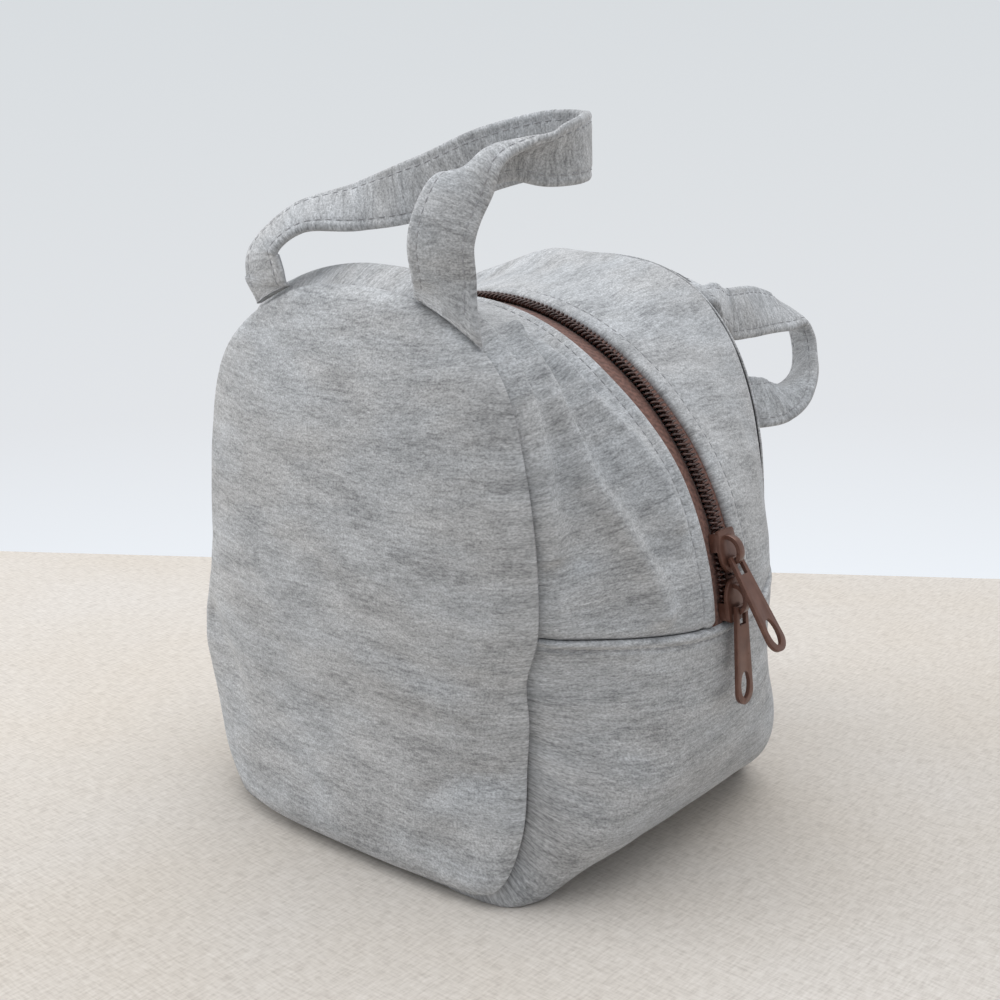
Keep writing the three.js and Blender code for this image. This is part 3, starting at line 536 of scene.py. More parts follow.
def fold_edge(phi, sign):
    """Depth of the folded edge by the zip: over the top the front one is pulled further back."""
    s = arc_length(phi)
    from_end = np.minimum(s, GUSSET_LENGTH - s)
    return FOLD_DEPTH[sign] + FOLD_PULL[sign] * smooth_step((from_end - 45) / 40)


def rolled(distance, radius):
    """Quarter round edge: the drop of a rolled fold within its radius of the edge."""
    short = np.clip(radius - distance, 0, radius)
    return np.sqrt(np.clip(radius ** 2 - short ** 2, 0, None)) - radius


FRONT_GUSSET_FOLDS = [
    # line of (length along, depth) points, width and height in millimetres
    ([(113, -49), (135, -47), (160, -47), (176, -49)], 6.0, 6.8),
    ([(104, -48), (90, -50), (72, -51.5), (58, -52.5), (38, -53.5)], 3.0, 3.2),
    ([(93, -46), (77, -46.5), (58, -47), (34, -46)], 3, -1.4),
    ([(101, -33.5), (76, -40.5), (56, -40), (44, -36), (24, -29.5), (12, -27.5)], 3.4, 4.4),
    ([(94, -33), (72, -33.5), (56, -31), (42, -27), (26, -22)], 4.4, -3.0),
    ([(90, -26), (73, -24), (60, -19), (48, -16.5), (35, -16)], 2.6, 2.2),
    ([(101, -19.5), (94, -19), (86, -19.5), (78, -20)], 2.2, -2.2),
]
BACK_GUSSET_FOLDS = [
    ([(154, 50), (176, 47)], 11, 2.6),
    ([(180, 42), (198, 36)], 10, 3.5),
    ([(121, 40), (92, 32), (66, 30), (44, 36)], 7, 1.2),
    ([(110, 24), (84, 20), (60, 19)], 5, -0.9),
]


def zip_gusset_height(phi, y, foot, sign, folds, seed):
    """Rolled fold by the zip, its stitched valley, puffed middle, sunk seams and folds."""
    s, from_fold, from_seam = arc_length(phi), abs(y) - fold_edge(phi, sign), CLOTH_END - abs(y)
    from_foot = np.minimum(phi - foot, np.pi - foot - phi) * ARC_SCALE
    height = rolled(from_fold, ROLL) + quilted(from_fold - STITCH_FROM_FOLD[sign], 0.65, 0.9)
    height += 0.5 * np.sin(np.pi * np.clip(from_fold / STITCH_FROM_FOLD[sign], 0, 1))
    height += dip(from_seam, SUNK[sign], 4.5) + dip(from_foot, 1.3, 2.4)
    height += 0.3 * noise(s, y, 8, seed) * np.exp(-from_seam / 7) * np.clip(from_seam / 1.5, 0, 1)
    height += 0.45 * noise(s, y, 22, seed + 1)
    height += 0.2 * noise(s, y, 9, seed + 2) * np.clip(from_fold / 8, 0, 1)
    return np.maximum(height + folded(s, y, folds), DEEPEST)


print("front fold at the top", fold_edge(np.pi / 2, -1), "mm from the middle")


# %% Gusset grids
ZIP_ROWS, ZIP_STEP, LOWER_STEP = 250, 1.25, 1.5


def gusset_columns(first, last, step):
    """Depths across a strip, close together at its fold and its seam."""
    edge = np.array([0, 0.08, 0.3, 0.7, 1.3])
    body = np.linspace(first + 2.2, last - 2.6, int((last - first) / step))
    return np.concatenate([first + edge, body, last - np.array([1.9, 1.2, 0.6, 0.2, 0])])


def over_the_top(foot, count):
    """Rows of directions from the right foot over the top to the left one."""
    return foot + (np.pi - 2 * foot) * np.linspace(0, 1, count)[:, None]


def under_the_base(top, count):
    """Rows of directions from the right top under the base to the left one, crowded at both."""
    return top - (np.pi + 2 * top) * (crowded(count)[:, None] / 2 + 0.5)


def layers(phi, y, height, *depths, move=settled):
    """Grids under the gusset's face raised by a height, at depths along its normal."""
    place, normal = gusset_face(phi, y), gusset_outward(phi, y)
    return [move(place + normal * np.expand_dims(height - depth, -1)) for depth in depths]


def gusset_sheet(name, phi, y, outer, inner):
    """Closed sheet whose map of the cloth is depth across and length along the gusset."""
    cloth = np.stack([np.broadcast_to(y, phi.shape), arc_length(phi)], -1)
    return closed_sheet(name, outer, inner, cloth)


print("columns of the front strip", len(gusset_columns(FOLD_DEPTH[-1], CLOTH_END, ZIP_STEP)))


# %% Zip gussets
def zip_gusset(side, sign, folds, seed):
    """Strip of jersey beside the zip, from the right cross seam over the top to the left."""
    y = gusset_columns(FOLD_DEPTH[sign], CLOTH_END, ZIP_STEP) * sign
    foot = angle_at(cross_seam_z(y), y) + GAP / 2 / CLOTH_RADIUS
    phi = over_the_top(foot, ZIP_ROWS)
    across = (abs(y) - FOLD_DEPTH[sign]) / (CLOTH_END - FOLD_DEPTH[sign])
    edge = fold_edge(phi, sign)
    depths = sign * (edge + across * (CLOTH_END - edge))
    height = zip_gusset_height(phi, depths, foot, sign, folds, seed)
    outer, inner = layers(phi, depths, height, 0, CLOTH)
    made = gusset_sheet(f"{side}_zip_gusset", phi, depths, outer, inner)
    place = STITCH_FROM_FOLD[sign] / (CLOTH_END - edge.mean(1))
    column = np.interp(place, across, np.arange(len(across)))
    rows, first, part = np.arange(len(column)), column.astype(int), (column % 1)[:, None]
    between = lambda grid: (grid[rows, first] * (1 - part) + grid[rows, first + 1] * part)[4:-4]
    line = between(outer), between(gusset_outward(phi, depths))
    return made, stitches(f"{side}_zip_stitching", [line])


zip_gussets, zip_threads = {}, {}
for (side, sign), folds, seed in zip(SIDES, (FRONT_GUSSET_FOLDS, BACK_GUSSET_FOLDS), (31, 47)):
    zip_gussets[side], zip_threads[side] = zip_gusset(side, sign, folds, seed)

# %% [markdown]
# ## Lower gusset
# This strip carries the bag: it rests flat on the table and turns up at both sides, where its top
# edges are folded and topstitched. It could be three pieces, but one grid bends round the base
# without a joint. Only its sides get noise, so that the base stays flat.

# %% Lower gusset
LOWER_ROWS, LOWER_SCALE, TEST_COLUMN = 260, 84, 30


def lower_gusset():
    """Strip from the right cross seam under the base to the left one, with rolled top folds."""
    half = gusset_columns(0, CLOTH_END, LOWER_STEP)[5:]
    y = np.concatenate([-half[::-1], [0], half])
    top = angle_at(cross_seam_z(y), y) - GAP / 2 / CLOTH_RADIUS
    phi = under_the_base(top, LOWER_ROWS)
    share = crowded(LOWER_ROWS)[:, None] / 2 + 0.5
    from_top = np.minimum(share, 1 - share) * (np.pi + 2 * top) * LOWER_SCALE
    height = rolled(from_top, ROLL) + quilted(from_top - STITCH_FROM_CROSS, 0.5, 0.7)
    height += 0.3 * np.sin(np.pi * np.clip(from_top / STITCH_FROM_CROSS, 0, 1))
    height += dip(CLOTH_END - abs(y), np.where(y < 0, SUNK[-1], SUNK[1]), 4.5)
    s, sides = arc_length(phi), smooth_step((gusset_face(phi, y)[..., 2] - 3) / 12)
    height += sides * (0.5 * noise(s, y, 24, 61) + 0.2 * noise(s, y, 10, 62))
    outer, inner = layers(phi, y, height, 0, CLOTH)
    inner[..., 2] = np.maximum(inner[..., 2], outer[..., 2].clip(0, 0.3) + 0.9)
    made = gusset_sheet("lower_gusset_cloth", phi, y, outer, inner)
    normal, lines = gusset_outward(phi, y), []
    for start in (0, LOWER_ROWS // 2):
        distances = from_top[start:start + LOWER_ROWS // 2, TEST_COLUMN]
        off_line = abs(distances - STITCH_FROM_CROSS)
        row = start + int(np.argmin(off_line))
        lines.append((outer[row, 3:-3], normal[row, 3:-3]))
    return made, stitches("cross_seam_stitching", lines)


lower_cloth, cross_threads = lower_gusset()

# %% [markdown]
# ## Linings
# Inside, foam with a wipe-clean skin follows the jersey. It could be left out, as the closed bag
# hides it, but an open mouth shows it. Each lining is its cloth's surface, only smooth and a
# little deeper, so that it can't cut through.


# %% Linings
def panel_lining(side, sign):
    """Foam behind a face panel, drawn in from the seam so that it clears the gusset."""
    x, z = bent_grid(60, 70, UNDER_CLOTH + 3)[:2]
    y = panel_depth(x, z) - UNDER_CLOTH - 1.2
    outer = np.stack([x, sign * y, z], -1)
    inner = outer - [0, sign * (LINING - 0.6), 0]
    return closed_sheet(f"{side}_face_lining", settled(outer), settled(inner), np.stack([x, z], -1))


def zip_gusset_lining(side, sign):
    """Foam under a zip gusset, from the tape's outer edge to the panel's foam."""
    y = np.linspace(TAPE_OUTER + GAP, CLOTH_END - LINING - 1.5, 24) * sign
    phi = over_the_top(angle_at(cross_seam_z(y) - 6, y), 90)
    foam = layers(phi, y, 0, UNDER_CLOTH + 2.2, UNDER_CLOTH + LINING + 0.3)
    return gusset_sheet(f"{side}_zip_gusset_foam", phi, y, *foam)


def lower_lining():
    """Foam inside the lower gusset and over the base."""
    y = np.linspace(-CLOTH_END + LINING + 1.5, CLOTH_END - LINING - 1.5, 44)
    phi = under_the_base(angle_at(cross_seam_z(y) - 9, y), 110)
    foam = layers(phi, y, 0, UNDER_CLOTH + 0.9, UNDER_CLOTH + LINING)
    return gusset_sheet("lower_gusset_foam", phi, y, *foam)


linings = {}
for side, sign in SIDES:
    linings[f"{side}_face"] = panel_lining(side, sign)
    linings[f"{side}_zip"] = zip_gusset_lining(side, sign)
linings["lower"] = lower_lining()

# %% [markdown]
# ## Zip tapes
# The zip's two woven tapes lie under the folded edges, and the chain is sewn to them. Flat strips
# would stand off a gusset that bends, so each tape is a thin sheet that follows it.

# %% Zip sizes
COIL_PITCH, COIL_OUTER, TOOTH_CROSS, COIL_HALF = 1.6, 2.9, 0.5, 0.95
SLIDER_LENGTH, SLIDER_GAP, LOWER_SLIDER_RISE = 12.6, 1.1, 6.9
PARTING, PARTED_SOFTLY = 1.8, 4
TAPE_END, TAPE_SUNK, SUNK_REACH, TAPE_ROWS = 7.5, 1.1, 3, 180
cross_angle = np.arcsin((CROSS_SEAM_Z - CROSS_SEAM_DIP - ZIP_Z) / CLOTH_RADIUS)
lower_slider_angle = cross_angle + LOWER_SLIDER_RISE / ZIP_RADIUS
upper_slider_angle = lower_slider_angle + (SLIDER_LENGTH + SLIDER_GAP) / ZIP_RADIUS
print("sliders at", np.degrees([lower_slider_angle, upper_slider_angle]).round(2), "degrees")


# %% Tapes
def zip_tape(side, sign):
    """Woven tape under the folded edge: a thin sheet at the depth of the frame's tape.

    Under the cloth it sinks a little where it passes the cross seams, with their grooves.
    """
    near, far = np.linspace(TAPE_INNER, REVEAL + 1, 9), np.linspace(REVEAL + 2, TAPE_OUTER, 5)
    y = np.concatenate([near, far])
    foot = angle_at(cross_seam_z(y) - TAPE_END, y)
    phi = over_the_top(foot, TAPE_ROWS)
    from_seam = (np.minimum(phi, np.pi - phi) - foot) * ZIP_RADIUS - TAPE_END
    sunk = TAPE_SUNK * np.exp(-(from_seam / SUNK_REACH) ** 2) * smooth_step((y - REVEAL) / 2)
    depth = UNDER_CLOTH + sunk
    grids = layers(phi, y * sign, 0, depth, depth + TAPE_THICK, move=np.copy)
    return gusset_sheet(f"{side}_tape", phi, y * sign, *grids)


tapes = {side: zip_tape(side, sign) for side, sign in SIDES}

# %% [markdown]
# ## Coils
# A nylon coil is one wire wound flat. Its heads reach past the middle and stand half a pitch from
# the other coil's, which is how they mesh. Separate teeth could be copied along the arc, but a
# coil has none, so the wire itself is wound: a squared loop that also steps along. Between the two
# parked sliders the heads are held apart.

# %% Coils
WIRE, WIRE_SIDES, LOOP_STEPS, SQUARENESS = 0.33, 6, 14, 0.8


def parting(phi):
    """How far the heads stand aside: held apart between the sliders, meshed elsewhere."""
    away = abs(phi - (lower_slider_angle + upper_slider_angle) / 2) * ZIP_RADIUS
    full = SLIDER_GAP / 2 + SLIDER_LENGTH / 2 - 2
    return PARTING * smooth_step((full + PARTED_SOFTLY - away) / PARTED_SOFTLY)


def coil(side, sign):
    """Wire wound flat along the arc: a loop in depth and radius that also steps along."""
    step = COIL_PITCH / ZIP_RADIUS
    start = cross_angle + 0.9 / ZIP_RADIUS
    turns = int((np.pi - 2 * start) / step)
    first = (np.ceil(start / step) + (0.25 if sign > 0 else 0.75)) * step
    turn = np.arange((turns - 1) * LOOP_STEPS + 1) / LOOP_STEPS
    phi = first + turn * step
    bent = lambda value: np.sign(value) * abs(value) ** SQUARENESS
    half = (COIL_OUTER + TOOTH_CROSS) / 2 - WIRE
    depth = (COIL_OUTER - TOOTH_CROSS) / 2 - half * bent(np.cos(2 * np.pi * turn)) + parting(phi)
    radius = ZIP_RADIUS + (COIL_HALF - WIRE) * bent(np.sin(2 * np.pi * turn))
    path = np.stack([radius * np.cos(phi), sign * depth, ZIP_Z + radius * np.sin(phi)], -1)
    tangent = unit(np.gradient(path, axis=0))
    aside = unit(np.cross(tangent, np.stack([-np.sin(phi), 0 * phi, np.cos(phi)], -1)))
    up = np.cross(aside, tangent)
    around = np.linspace(0, 2 * np.pi, WIRE_SIDES, endpoint=False)[None, :, None]
    rings = path[:, None] + WIRE * (np.cos(around) * aside[:, None] + np.sin(around) * up[:, None])
    return make_object(f"{side}_coil", *tube(rings))


coils = {side: coil(side, sign) for side, sign in SIDES}

# %% [markdown]
# ## Handles
# A handle is a flat tube of jersey, topstitched near both edges. A ribbon on a curve would do for
# a plain one, but these twist and curl. So the strap is carried along stations: each gives the
# place of its middle and the way its width points, at both edges where it curls.

# %% Handle stations
STRAP_WIDTH, STRAP_THICK, STRAP_STITCH = 18, 3, 2.5
HANDLE_FOOT_X, FOOT_BLEND, WIDTH_STEPS = 35.4, 0.065, 40
FOOT_GAPS, FOOT_DEPTHS = {-1: 0.6, 1: -1.6}, {-1: SEAM_Y, 1: SEAM_Y + 1.8}
FOOT_SPANS = {-1: ((24.2, 46.6), (25.2, 39.0)), 1: ((26.4, 44.4), (26.4, 44.4))}
FRONT_STRAP = [
    # x, y and z from the seam at the foot, then one or two directions of the width
    (36.5, 1.1, 10, 0.9, -0.4, -0.2), (36.8, 2.2, 20, 0.85, -0.5, -0.1),
    (37.5, -2.7, 31.2, 0.88, -0.43, 0.22, 0.71, -0.65, -0.27),
    (40.1, -11.8, 41, 0.01, -0.22, 0.98, 0.91, -0.01, -0.42),
    (44.3, -20.3, 43, -0.1, -0.12, 0.99, 0.89, 0.38, -0.2),
    (48.8, -27.9, 41.6, -0.17, -0.19, 0.97, 0.72, 0.5, 0.48),
    (52.2, -35.4, 42.2, -0.17, -0.19, 0.97, 0.3, 0.2, 0.92),
    (48.6, -43.8, 43.3, -0.17, -0.19, 0.97, -0.25, -0.2, 0.94),
    (37.8, -43.2, 43.7, 0, 0, 1), (21, -35, 39.5, -0.2, 0.1, 0.95),
    (4.4, -26.5, 32, -0.25, -0.05, 0.95), (-12.7, -17.7, 26.8, -0.61, -0.4, 0.69),
    (-28.8, -7, 23.1, -0.89, -0.4, 0.23), (-36.3, 0, 13.7, -0.96, -0.21, -0.18),
    (-34.8, 1.0, 6.2, -0.9, -0.06, -0.42),
]
BACK_STRAP = [
    (36.8, 5.5, -3, 0.85, 0, -0.5), (38.3, 10.5, -7, 0.7, 0.05, -0.7),
    (39.2, 15, -9, 0.5, -0.1, -0.87), (38.6, 20, -11.9, 0.32, -0.21, -0.92),
    (40.4, 27, -12, 0.34, -0.24, -0.91), (41.1, 37, -12.3, 0.48, -0.36, -0.8),
    (43.2, 45.6, -13.6, 0.65, -0.51, -0.56), (44.9, 52.2, -15.4, 0.78, -0.61, -0.09),
    (46.6, 55.2, -21.4, 0.79, -0.6, 0.1), (48.1, 55.2, -27.6, 0.77, -0.59, 0.23),
    (49.8, 51.3, -34.1, 0.76, -0.65, 0.05), (50.5, 43.5, -39.4, 0.73, -0.65, -0.22),
    (49.6, 35, -41.8, 0.57, -0.47, -0.68), (47.7, 27, -42, 0.41, -0.29, -0.86),
    (34, 24.5, -43.2, 0.25, -0.25, -0.93), (15, 25, -47.5, 0, -0.3, -0.95),
    (-6, 25, -45, 0, -0.2, -0.98), (-24, 22, -37, -0.45, -0.1, -0.88),
    (-35, 17, -26, -0.85, -0.1, -0.5), (-38, 13, -14, -0.98, 0, -0.1),
    (-37.5, 9, -6, -0.95, 0, -0.3), (-36, 4.5, -1.5, -0.9, 0, -0.42),
]
print("stations", len(FRONT_STRAP), "in front and", len(BACK_STRAP), "behind")


# %% Curve through the stations
def through(points, t):
    """Centripetal Catmull-Rom curve through points, with t from 0 to 1 in equal steps a span."""
    padded = np.array([2 * points[0] - points[1], *points, 2 * points[-1] - points[-2]])
    spans = len(points) - 1
    place = np.clip(t * spans, 0, spans - 1e-9)
    k = np.floor(place).astype(int)
    w = (place - k)[:, None]
    p0, p1, p2, p3 = (padded[k + n] for n in range(4))
    size = lambda d: np.maximum(np.sum(d ** 2, 1, keepdims=True) ** 0.25, 1e-4)
    d0, d1, d2 = size(p1 - p0), size(p2 - p1), size(p3 - p2)
    t1 = ((p1 - p0) / d0 - (p2 - p0) / (d0 + d1) + (p2 - p1) / d1) * d1
    t2 = ((p2 - p1) / d1 - (p3 - p1) / (d1 + d2) + (p3 - p2) / d2) * d1
    c2, c3 = -3 * p1 + 3 * p2 - 2 * t1 - t2, 2 * p1 - 2 * p2 + t1 + t2
    return p1 + t1 * w + c2 * w ** 2 + c3 * w ** 3


bend = np.array([[0.0, 0, 0], [10, 0, 0], [10, 10, 0]])
print("a quarter of the way along a bend:", through(bend, np.array([0.25]))[0].round(2))


# %% Feet on the seam
def arch_z(x):
    """Height of the seam's arch at x."""
    level = (1 - abs(x / SEAM_HALF_WIDTH) ** ARCH_POWER) ** (1 / ARCH_POWER)
    return SPRING_Z + (CROWN_Z - SPRING_Z) * level


def seam_place(x, sign):
    """Place just over the seam's arch at x, and the direction of the seam there."""
    along = unit(np.stack([1 + 0 * x, 0 * x, arch_z(x + 0.5) - arch_z(x - 0.5)], -1))
    gap, y = FOOT_GAPS[sign], sign * FOOT_DEPTHS[sign] + 0 * x
    return np.stack([x - along[..., 2] * gap, y, arch_z(x) + along[..., 0] * gap], -1), along


print("feet at", seam_place(np.array(HANDLE_FOOT_X), -1)[0].round(1), "mm and its mirror image")


# %% Strap surface
def lane_offsets(lows, highs, tangent, lanes):
    """Offsets of the lanes (-1 to 1) from the middle of a strap, square to its path.

    The width turns from the direction at the inner edge to that at the outer edge, so the offset
    of a lane is the sum of the directions up to it: that is how a flat strap curls.
    """
    free = lambda v: unit(v - np.sum(v * tangent, 1, keepdims=True) * tangent)[:, None]
    turned = smooth_step((np.arange(WIDTH_STEPS) + 0.5) / WIDTH_STEPS)[None, :, None]
    directions = unit(free(lows) * (1 - turned) + free(highs) * turned)
    sums = np.cumsum(directions, 1) * STRAP_WIDTH / WIDTH_STEPS
    sums = np.concatenate([np.zeros((len(tangent), 1, 3)), sums], 1)
    sums -= sums[:, WIDTH_STEPS // 2, None]
    place = (lanes + 1) / 2 * WIDTH_STEPS
    k = np.clip(place.astype(int), 0, WIDTH_STEPS - 1)
    share = (place - k)[None, :, None]
    return sums[:, k] * (1 - share) + sums[:, k + 1] * share


def strap_surface(sign, stations, count, lanes):
    """Middle surface of a strap at its lanes, its normals and its length so far."""
    foot, along = seam_place(np.array(HANDLE_FOOT_X), sign)
    mirror, flip = np.array([-1, 1, 1]), np.array([1, sign, 1])
    rows = np.array([[*row, *row[3:]][:9] for row in stations])
    centres = np.array([foot, *(rows[:, :3] * flip + [0, sign * SEAM_Y, foot[2]]), foot * mirror])
    lows = np.array([along, *unit(rows[:, 3:6] * flip), along * mirror])
    highs = np.array([along, *unit(rows[:, 6:] * flip), along * mirror])
    t = np.linspace(0, 1, count)
    centre = through(centres, t)
    ahead, behind = (through(centres, np.clip(t + step, 0, 1)) for step in (1e-4, -1e-4))
    tangent = unit(ahead - behind)
    offsets = lane_offsets(through(lows, t), through(highs, t), tangent, lanes)
    loose = smooth_step(np.minimum(t, 1 - t) / FOOT_BLEND)[:, None, None]
    sewn = [seam_place((near + far + lanes * (far - near)) / 2, sign)[0] - foot
            for near, far in FOOT_SPANS[sign]]
    ends = np.where((t < 0.5)[:, None, None], sewn[0][None], (sewn[1] * mirror)[None])
    offsets = offsets * loose + ends * (1 - loose)
    normal = unit(np.cross(np.gradient(offsets, axis=1), tangent[:, None]))
    normal = unit(normal * loose + np.array([0, -1, 0]) * (1 - loose))
    return centre[:, None] + offsets, normal, length_along(centre)


edges = np.array([-1, 1])
print("front strap", strap_surface(-1, FRONT_STRAP, 90, edges)[2][-1].round(1), "mm long")


# %% Handles
STRAP_ROWS, STRAP_LANES, FREE_ROWS, UNDER_SHIFT = 300, 24, 8, 30


def strap_half_thickness(w, length, seed):
    """Half thickness across a strap: full inside, pinched at the stitches, round at the edges."""
    edge = np.sqrt(np.clip(1 - abs(w) ** 8, 0, 1))
    from_stitch = (abs(w) - 1 + 2 * STRAP_STITCH / STRAP_WIDTH) * STRAP_WIDTH / 2
    puff = 1 + 0.12 * np.cos(np.pi * w / 2) + 0.12 * noise(length + 0 * w, w * 9, 6, seed)
    return STRAP_THICK / 2 * edge * (puff + quilted(from_stitch, 0.3, 0.7))


def handle(name, sign, stations, seed):
    """Strap whose flattened ring of points is carried along the path, with its rows of stitches."""
    lanes = np.sin(np.pi / 2 * np.linspace(-1, 1, STRAP_LANES))
    middle, normal, length = strap_surface(sign, stations, STRAP_ROWS, lanes)
    middle = settled(middle)
    thick = strap_half_thickness(lanes[None, :], length[:, None], seed)[..., None]
    upper, under = middle + normal * thick, middle - normal * thick
    rings = np.concatenate([upper, under[:, -2:0:-1]], 1)
    flat = lanes * STRAP_WIDTH / 2
    across = np.concatenate([flat, flat[-2:0:-1] + UNDER_SHIFT])
    cloth = [np.broadcast_to(v, rings.shape[:2]) for v in (across, length[:, None])]
    cloth = np.concatenate([np.stack(cloth, -1).reshape(-1, 2), [[0, 0], [0, length[-1]]]])
    made = make_object(name, *tube(rings), cloth)
    print(made.name, "length", round(float(length[-1]), 1), "mm")
    lines, free = [], slice(FREE_ROWS, -FREE_ROWS)
    for edge in (-1, 1):
        lane = int(np.argmin(abs(lanes - edge * (1 - 2 * STRAP_STITCH / STRAP_WIDTH))))
        for face, turn in ((upper, 1), (under, -1)):
            lines.append((face[free, lane], normal[free, lane] * turn))
    return made, stitches(f"{name}_stitching", lines)


handles, handle_threads = {}, {}
for (side, sign), stations, seed in zip(SIDES, (FRONT_STRAP, BACK_STRAP), (71, 73)):
    handles[side], handle_threads[side] = handle(f"{side}_strap", sign, stations, seed)

# %% [markdown]
# ## Sliders and pulls
# These are pressed metal parts. The frame's shapes are right, so they needn't be built again, but
# their edges are knife sharp. A copy of each is merged, and a narrow bevel rounds its edges so
# that they catch the light.


# %% Metal parts
def rounded_copy(name, node, width):
    """Merged copy of a frame node with rounded edges."""
    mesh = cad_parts[node].data.copy()
    work = bmesh.new()
    work.from_mesh(mesh)
    bmesh.ops.remove_doubles(work, verts=work.verts, dist=1e-6)
    bmesh.ops.dissolve_limit(work, angle_limit=np.radians(2), verts=work.verts, edges=work.edges)
    work.to_mesh(mesh)
    work.free()
    mesh.shade_smooth()
    made = linked(name, mesh)
    bevel = made.modifiers.new("rounding", "BEVEL")
    bevel.width, bevel.segments, bevel.limit_method = width * MM, 3, "ANGLE"
    bevel.angle_limit = np.radians(35)
    bevel.harden_normals = True
    return made


metal = {}
for kind, ending, width in (("slider", "body", 0.28), ("pull", "tab", 0.3)):
    for end in ("upper", "lower"):
        node = f"{end}_{kind}"
        metal[node] = rounded_copy(f"{node}_{ending}", node, width)
print("metal parts", sorted(metal))

# %% [markdown]
# ## Materials
# Colours and grain could come from a painted picture, but that blurs from close by. Here they come
# from nodes that read each piece's own map of the cloth in metres, so a knitted stitch has its
# real size everywhere and the streaks run along the knit.


# %% Node helpers
def feed(tree, node, inputs):
    """Sets a node's inputs, and links those that are given as sockets."""
    for key, value in inputs.items():
        if isinstance(value, bpy.types.NodeSocket):
            tree.links.new(value, node.inputs[key])
        else:
            node.inputs[key].default_value = value
    return node


def put(tree, kind, inputs=None, **settings):
    """Adds a node, sets its options and feeds its inputs."""
    made = tree.nodes.new("ShaderNode" + kind)
    for key, value in settings.items():
        setattr(made, key, value)
    return feed(tree, made, inputs or {})


def start_material(name):
    """New node material and its tree."""
    made = bpy.data.materials.new(name)
    made.use_nodes = True
    return made, made.node_tree


def dress(made, colour, roughness, bump=None, **shares):
    """Feeds a shader: colour, roughness, a (height, strength, distance) bump and more."""
    tree = made.node_tree
    inputs = {"Base Color": colour, "Roughness": roughness}
    inputs.update({key.replace("_", " "): value for key, value in shares.items()})
    if bump:
        bumped = put(tree, "Bump", dict(zip(("Height", "Strength", "Distance"), bump)))
        inputs["Normal"] = bumped.outputs["Normal"]
    feed(tree, tree.nodes["Principled BSDF"], inputs)
    return made


print("Blender", bpy.app.version_string, "and", len(bpy.data.materials), "materials so far")


# %% Pattern helpers
def math(tree, operation, *values):
    """Math node on numbers or sockets."""
    return put(tree, "Math", dict(enumerate(values)), operation=operation).outputs[0]


def scaled(tree, place, size):
    """A place multiplied by a pattern's repeats a metre in each direction."""
    return put(tree, "VectorMath", {0: place, 1: size}, operation="MULTIPLY").outputs[0]


def cloth_map(tree):
    """The piece's own map of the cloth, in metres."""
    return put(tree, "UVMap", uv_map="cloth").outputs[0]


def speckle(tree, place, scale=1.0, detail=2.0, rough=0.5, dimensions="3D"):
    """Noise at a place."""
    inputs = {"Vector": place, "Scale": scale, "Detail": detail, "Roughness": rough}
    return put(tree, "TexNoise", inputs, noise_dimensions=dimensions).outputs["Fac"]


def grain(tree, across, along, detail=2.0, rough=0.5):
    """Noise stretched to its own repeats a metre across and along the cloth."""
    return speckle(tree, scaled(tree, cloth_map(tree), (across, along, 1)), 1, detail, rough, "2D")


def object_noise(tree, scale, detail=2.0):
    """Noise on the piece's own coordinates."""
    return speckle(tree, put(tree, "TexCoord").outputs["Object"], scale, detail)


def ramp(tree, factor, stops):
    """Colour ramp from (place, grey or colour) stops."""
    made = put(tree, "ValToRGB", {"Fac": factor})
    elements = made.color_ramp.elements
    while len(elements) < len(stops):
        elements.new(0.5)
    for element, (place, colour) in zip(elements, stops):
        element.position = place
        element.color = (*([colour] * 3 if isinstance(colour, float) else colour), 1)
    return made.outputs["Color"]


def mixed(tree, factor, first, second, blend="MIX"):
    """Mix of two colours."""
    inputs = {0: factor, 6: first, 7: second}
    return put(tree, "Mix", inputs, data_type="RGBA", blend_type=blend).outputs[2]


print("patterns", [helper.__name__ for helper in (speckle, grain, object_noise, ramp, mixed)])

# %% [markdown]
# ## Jersey
# Heathered jersey is knitted from mixed fibres, which show as streaks a few millimetres long and
# half a millimetre high. Drawn lines would look printed, so stretched noises of that size are
# added up, with flecks for the fuzz and a fine wave for the knit's ribs.

# %% Jersey
RIBS_A_METRE = 1000 / 1.1


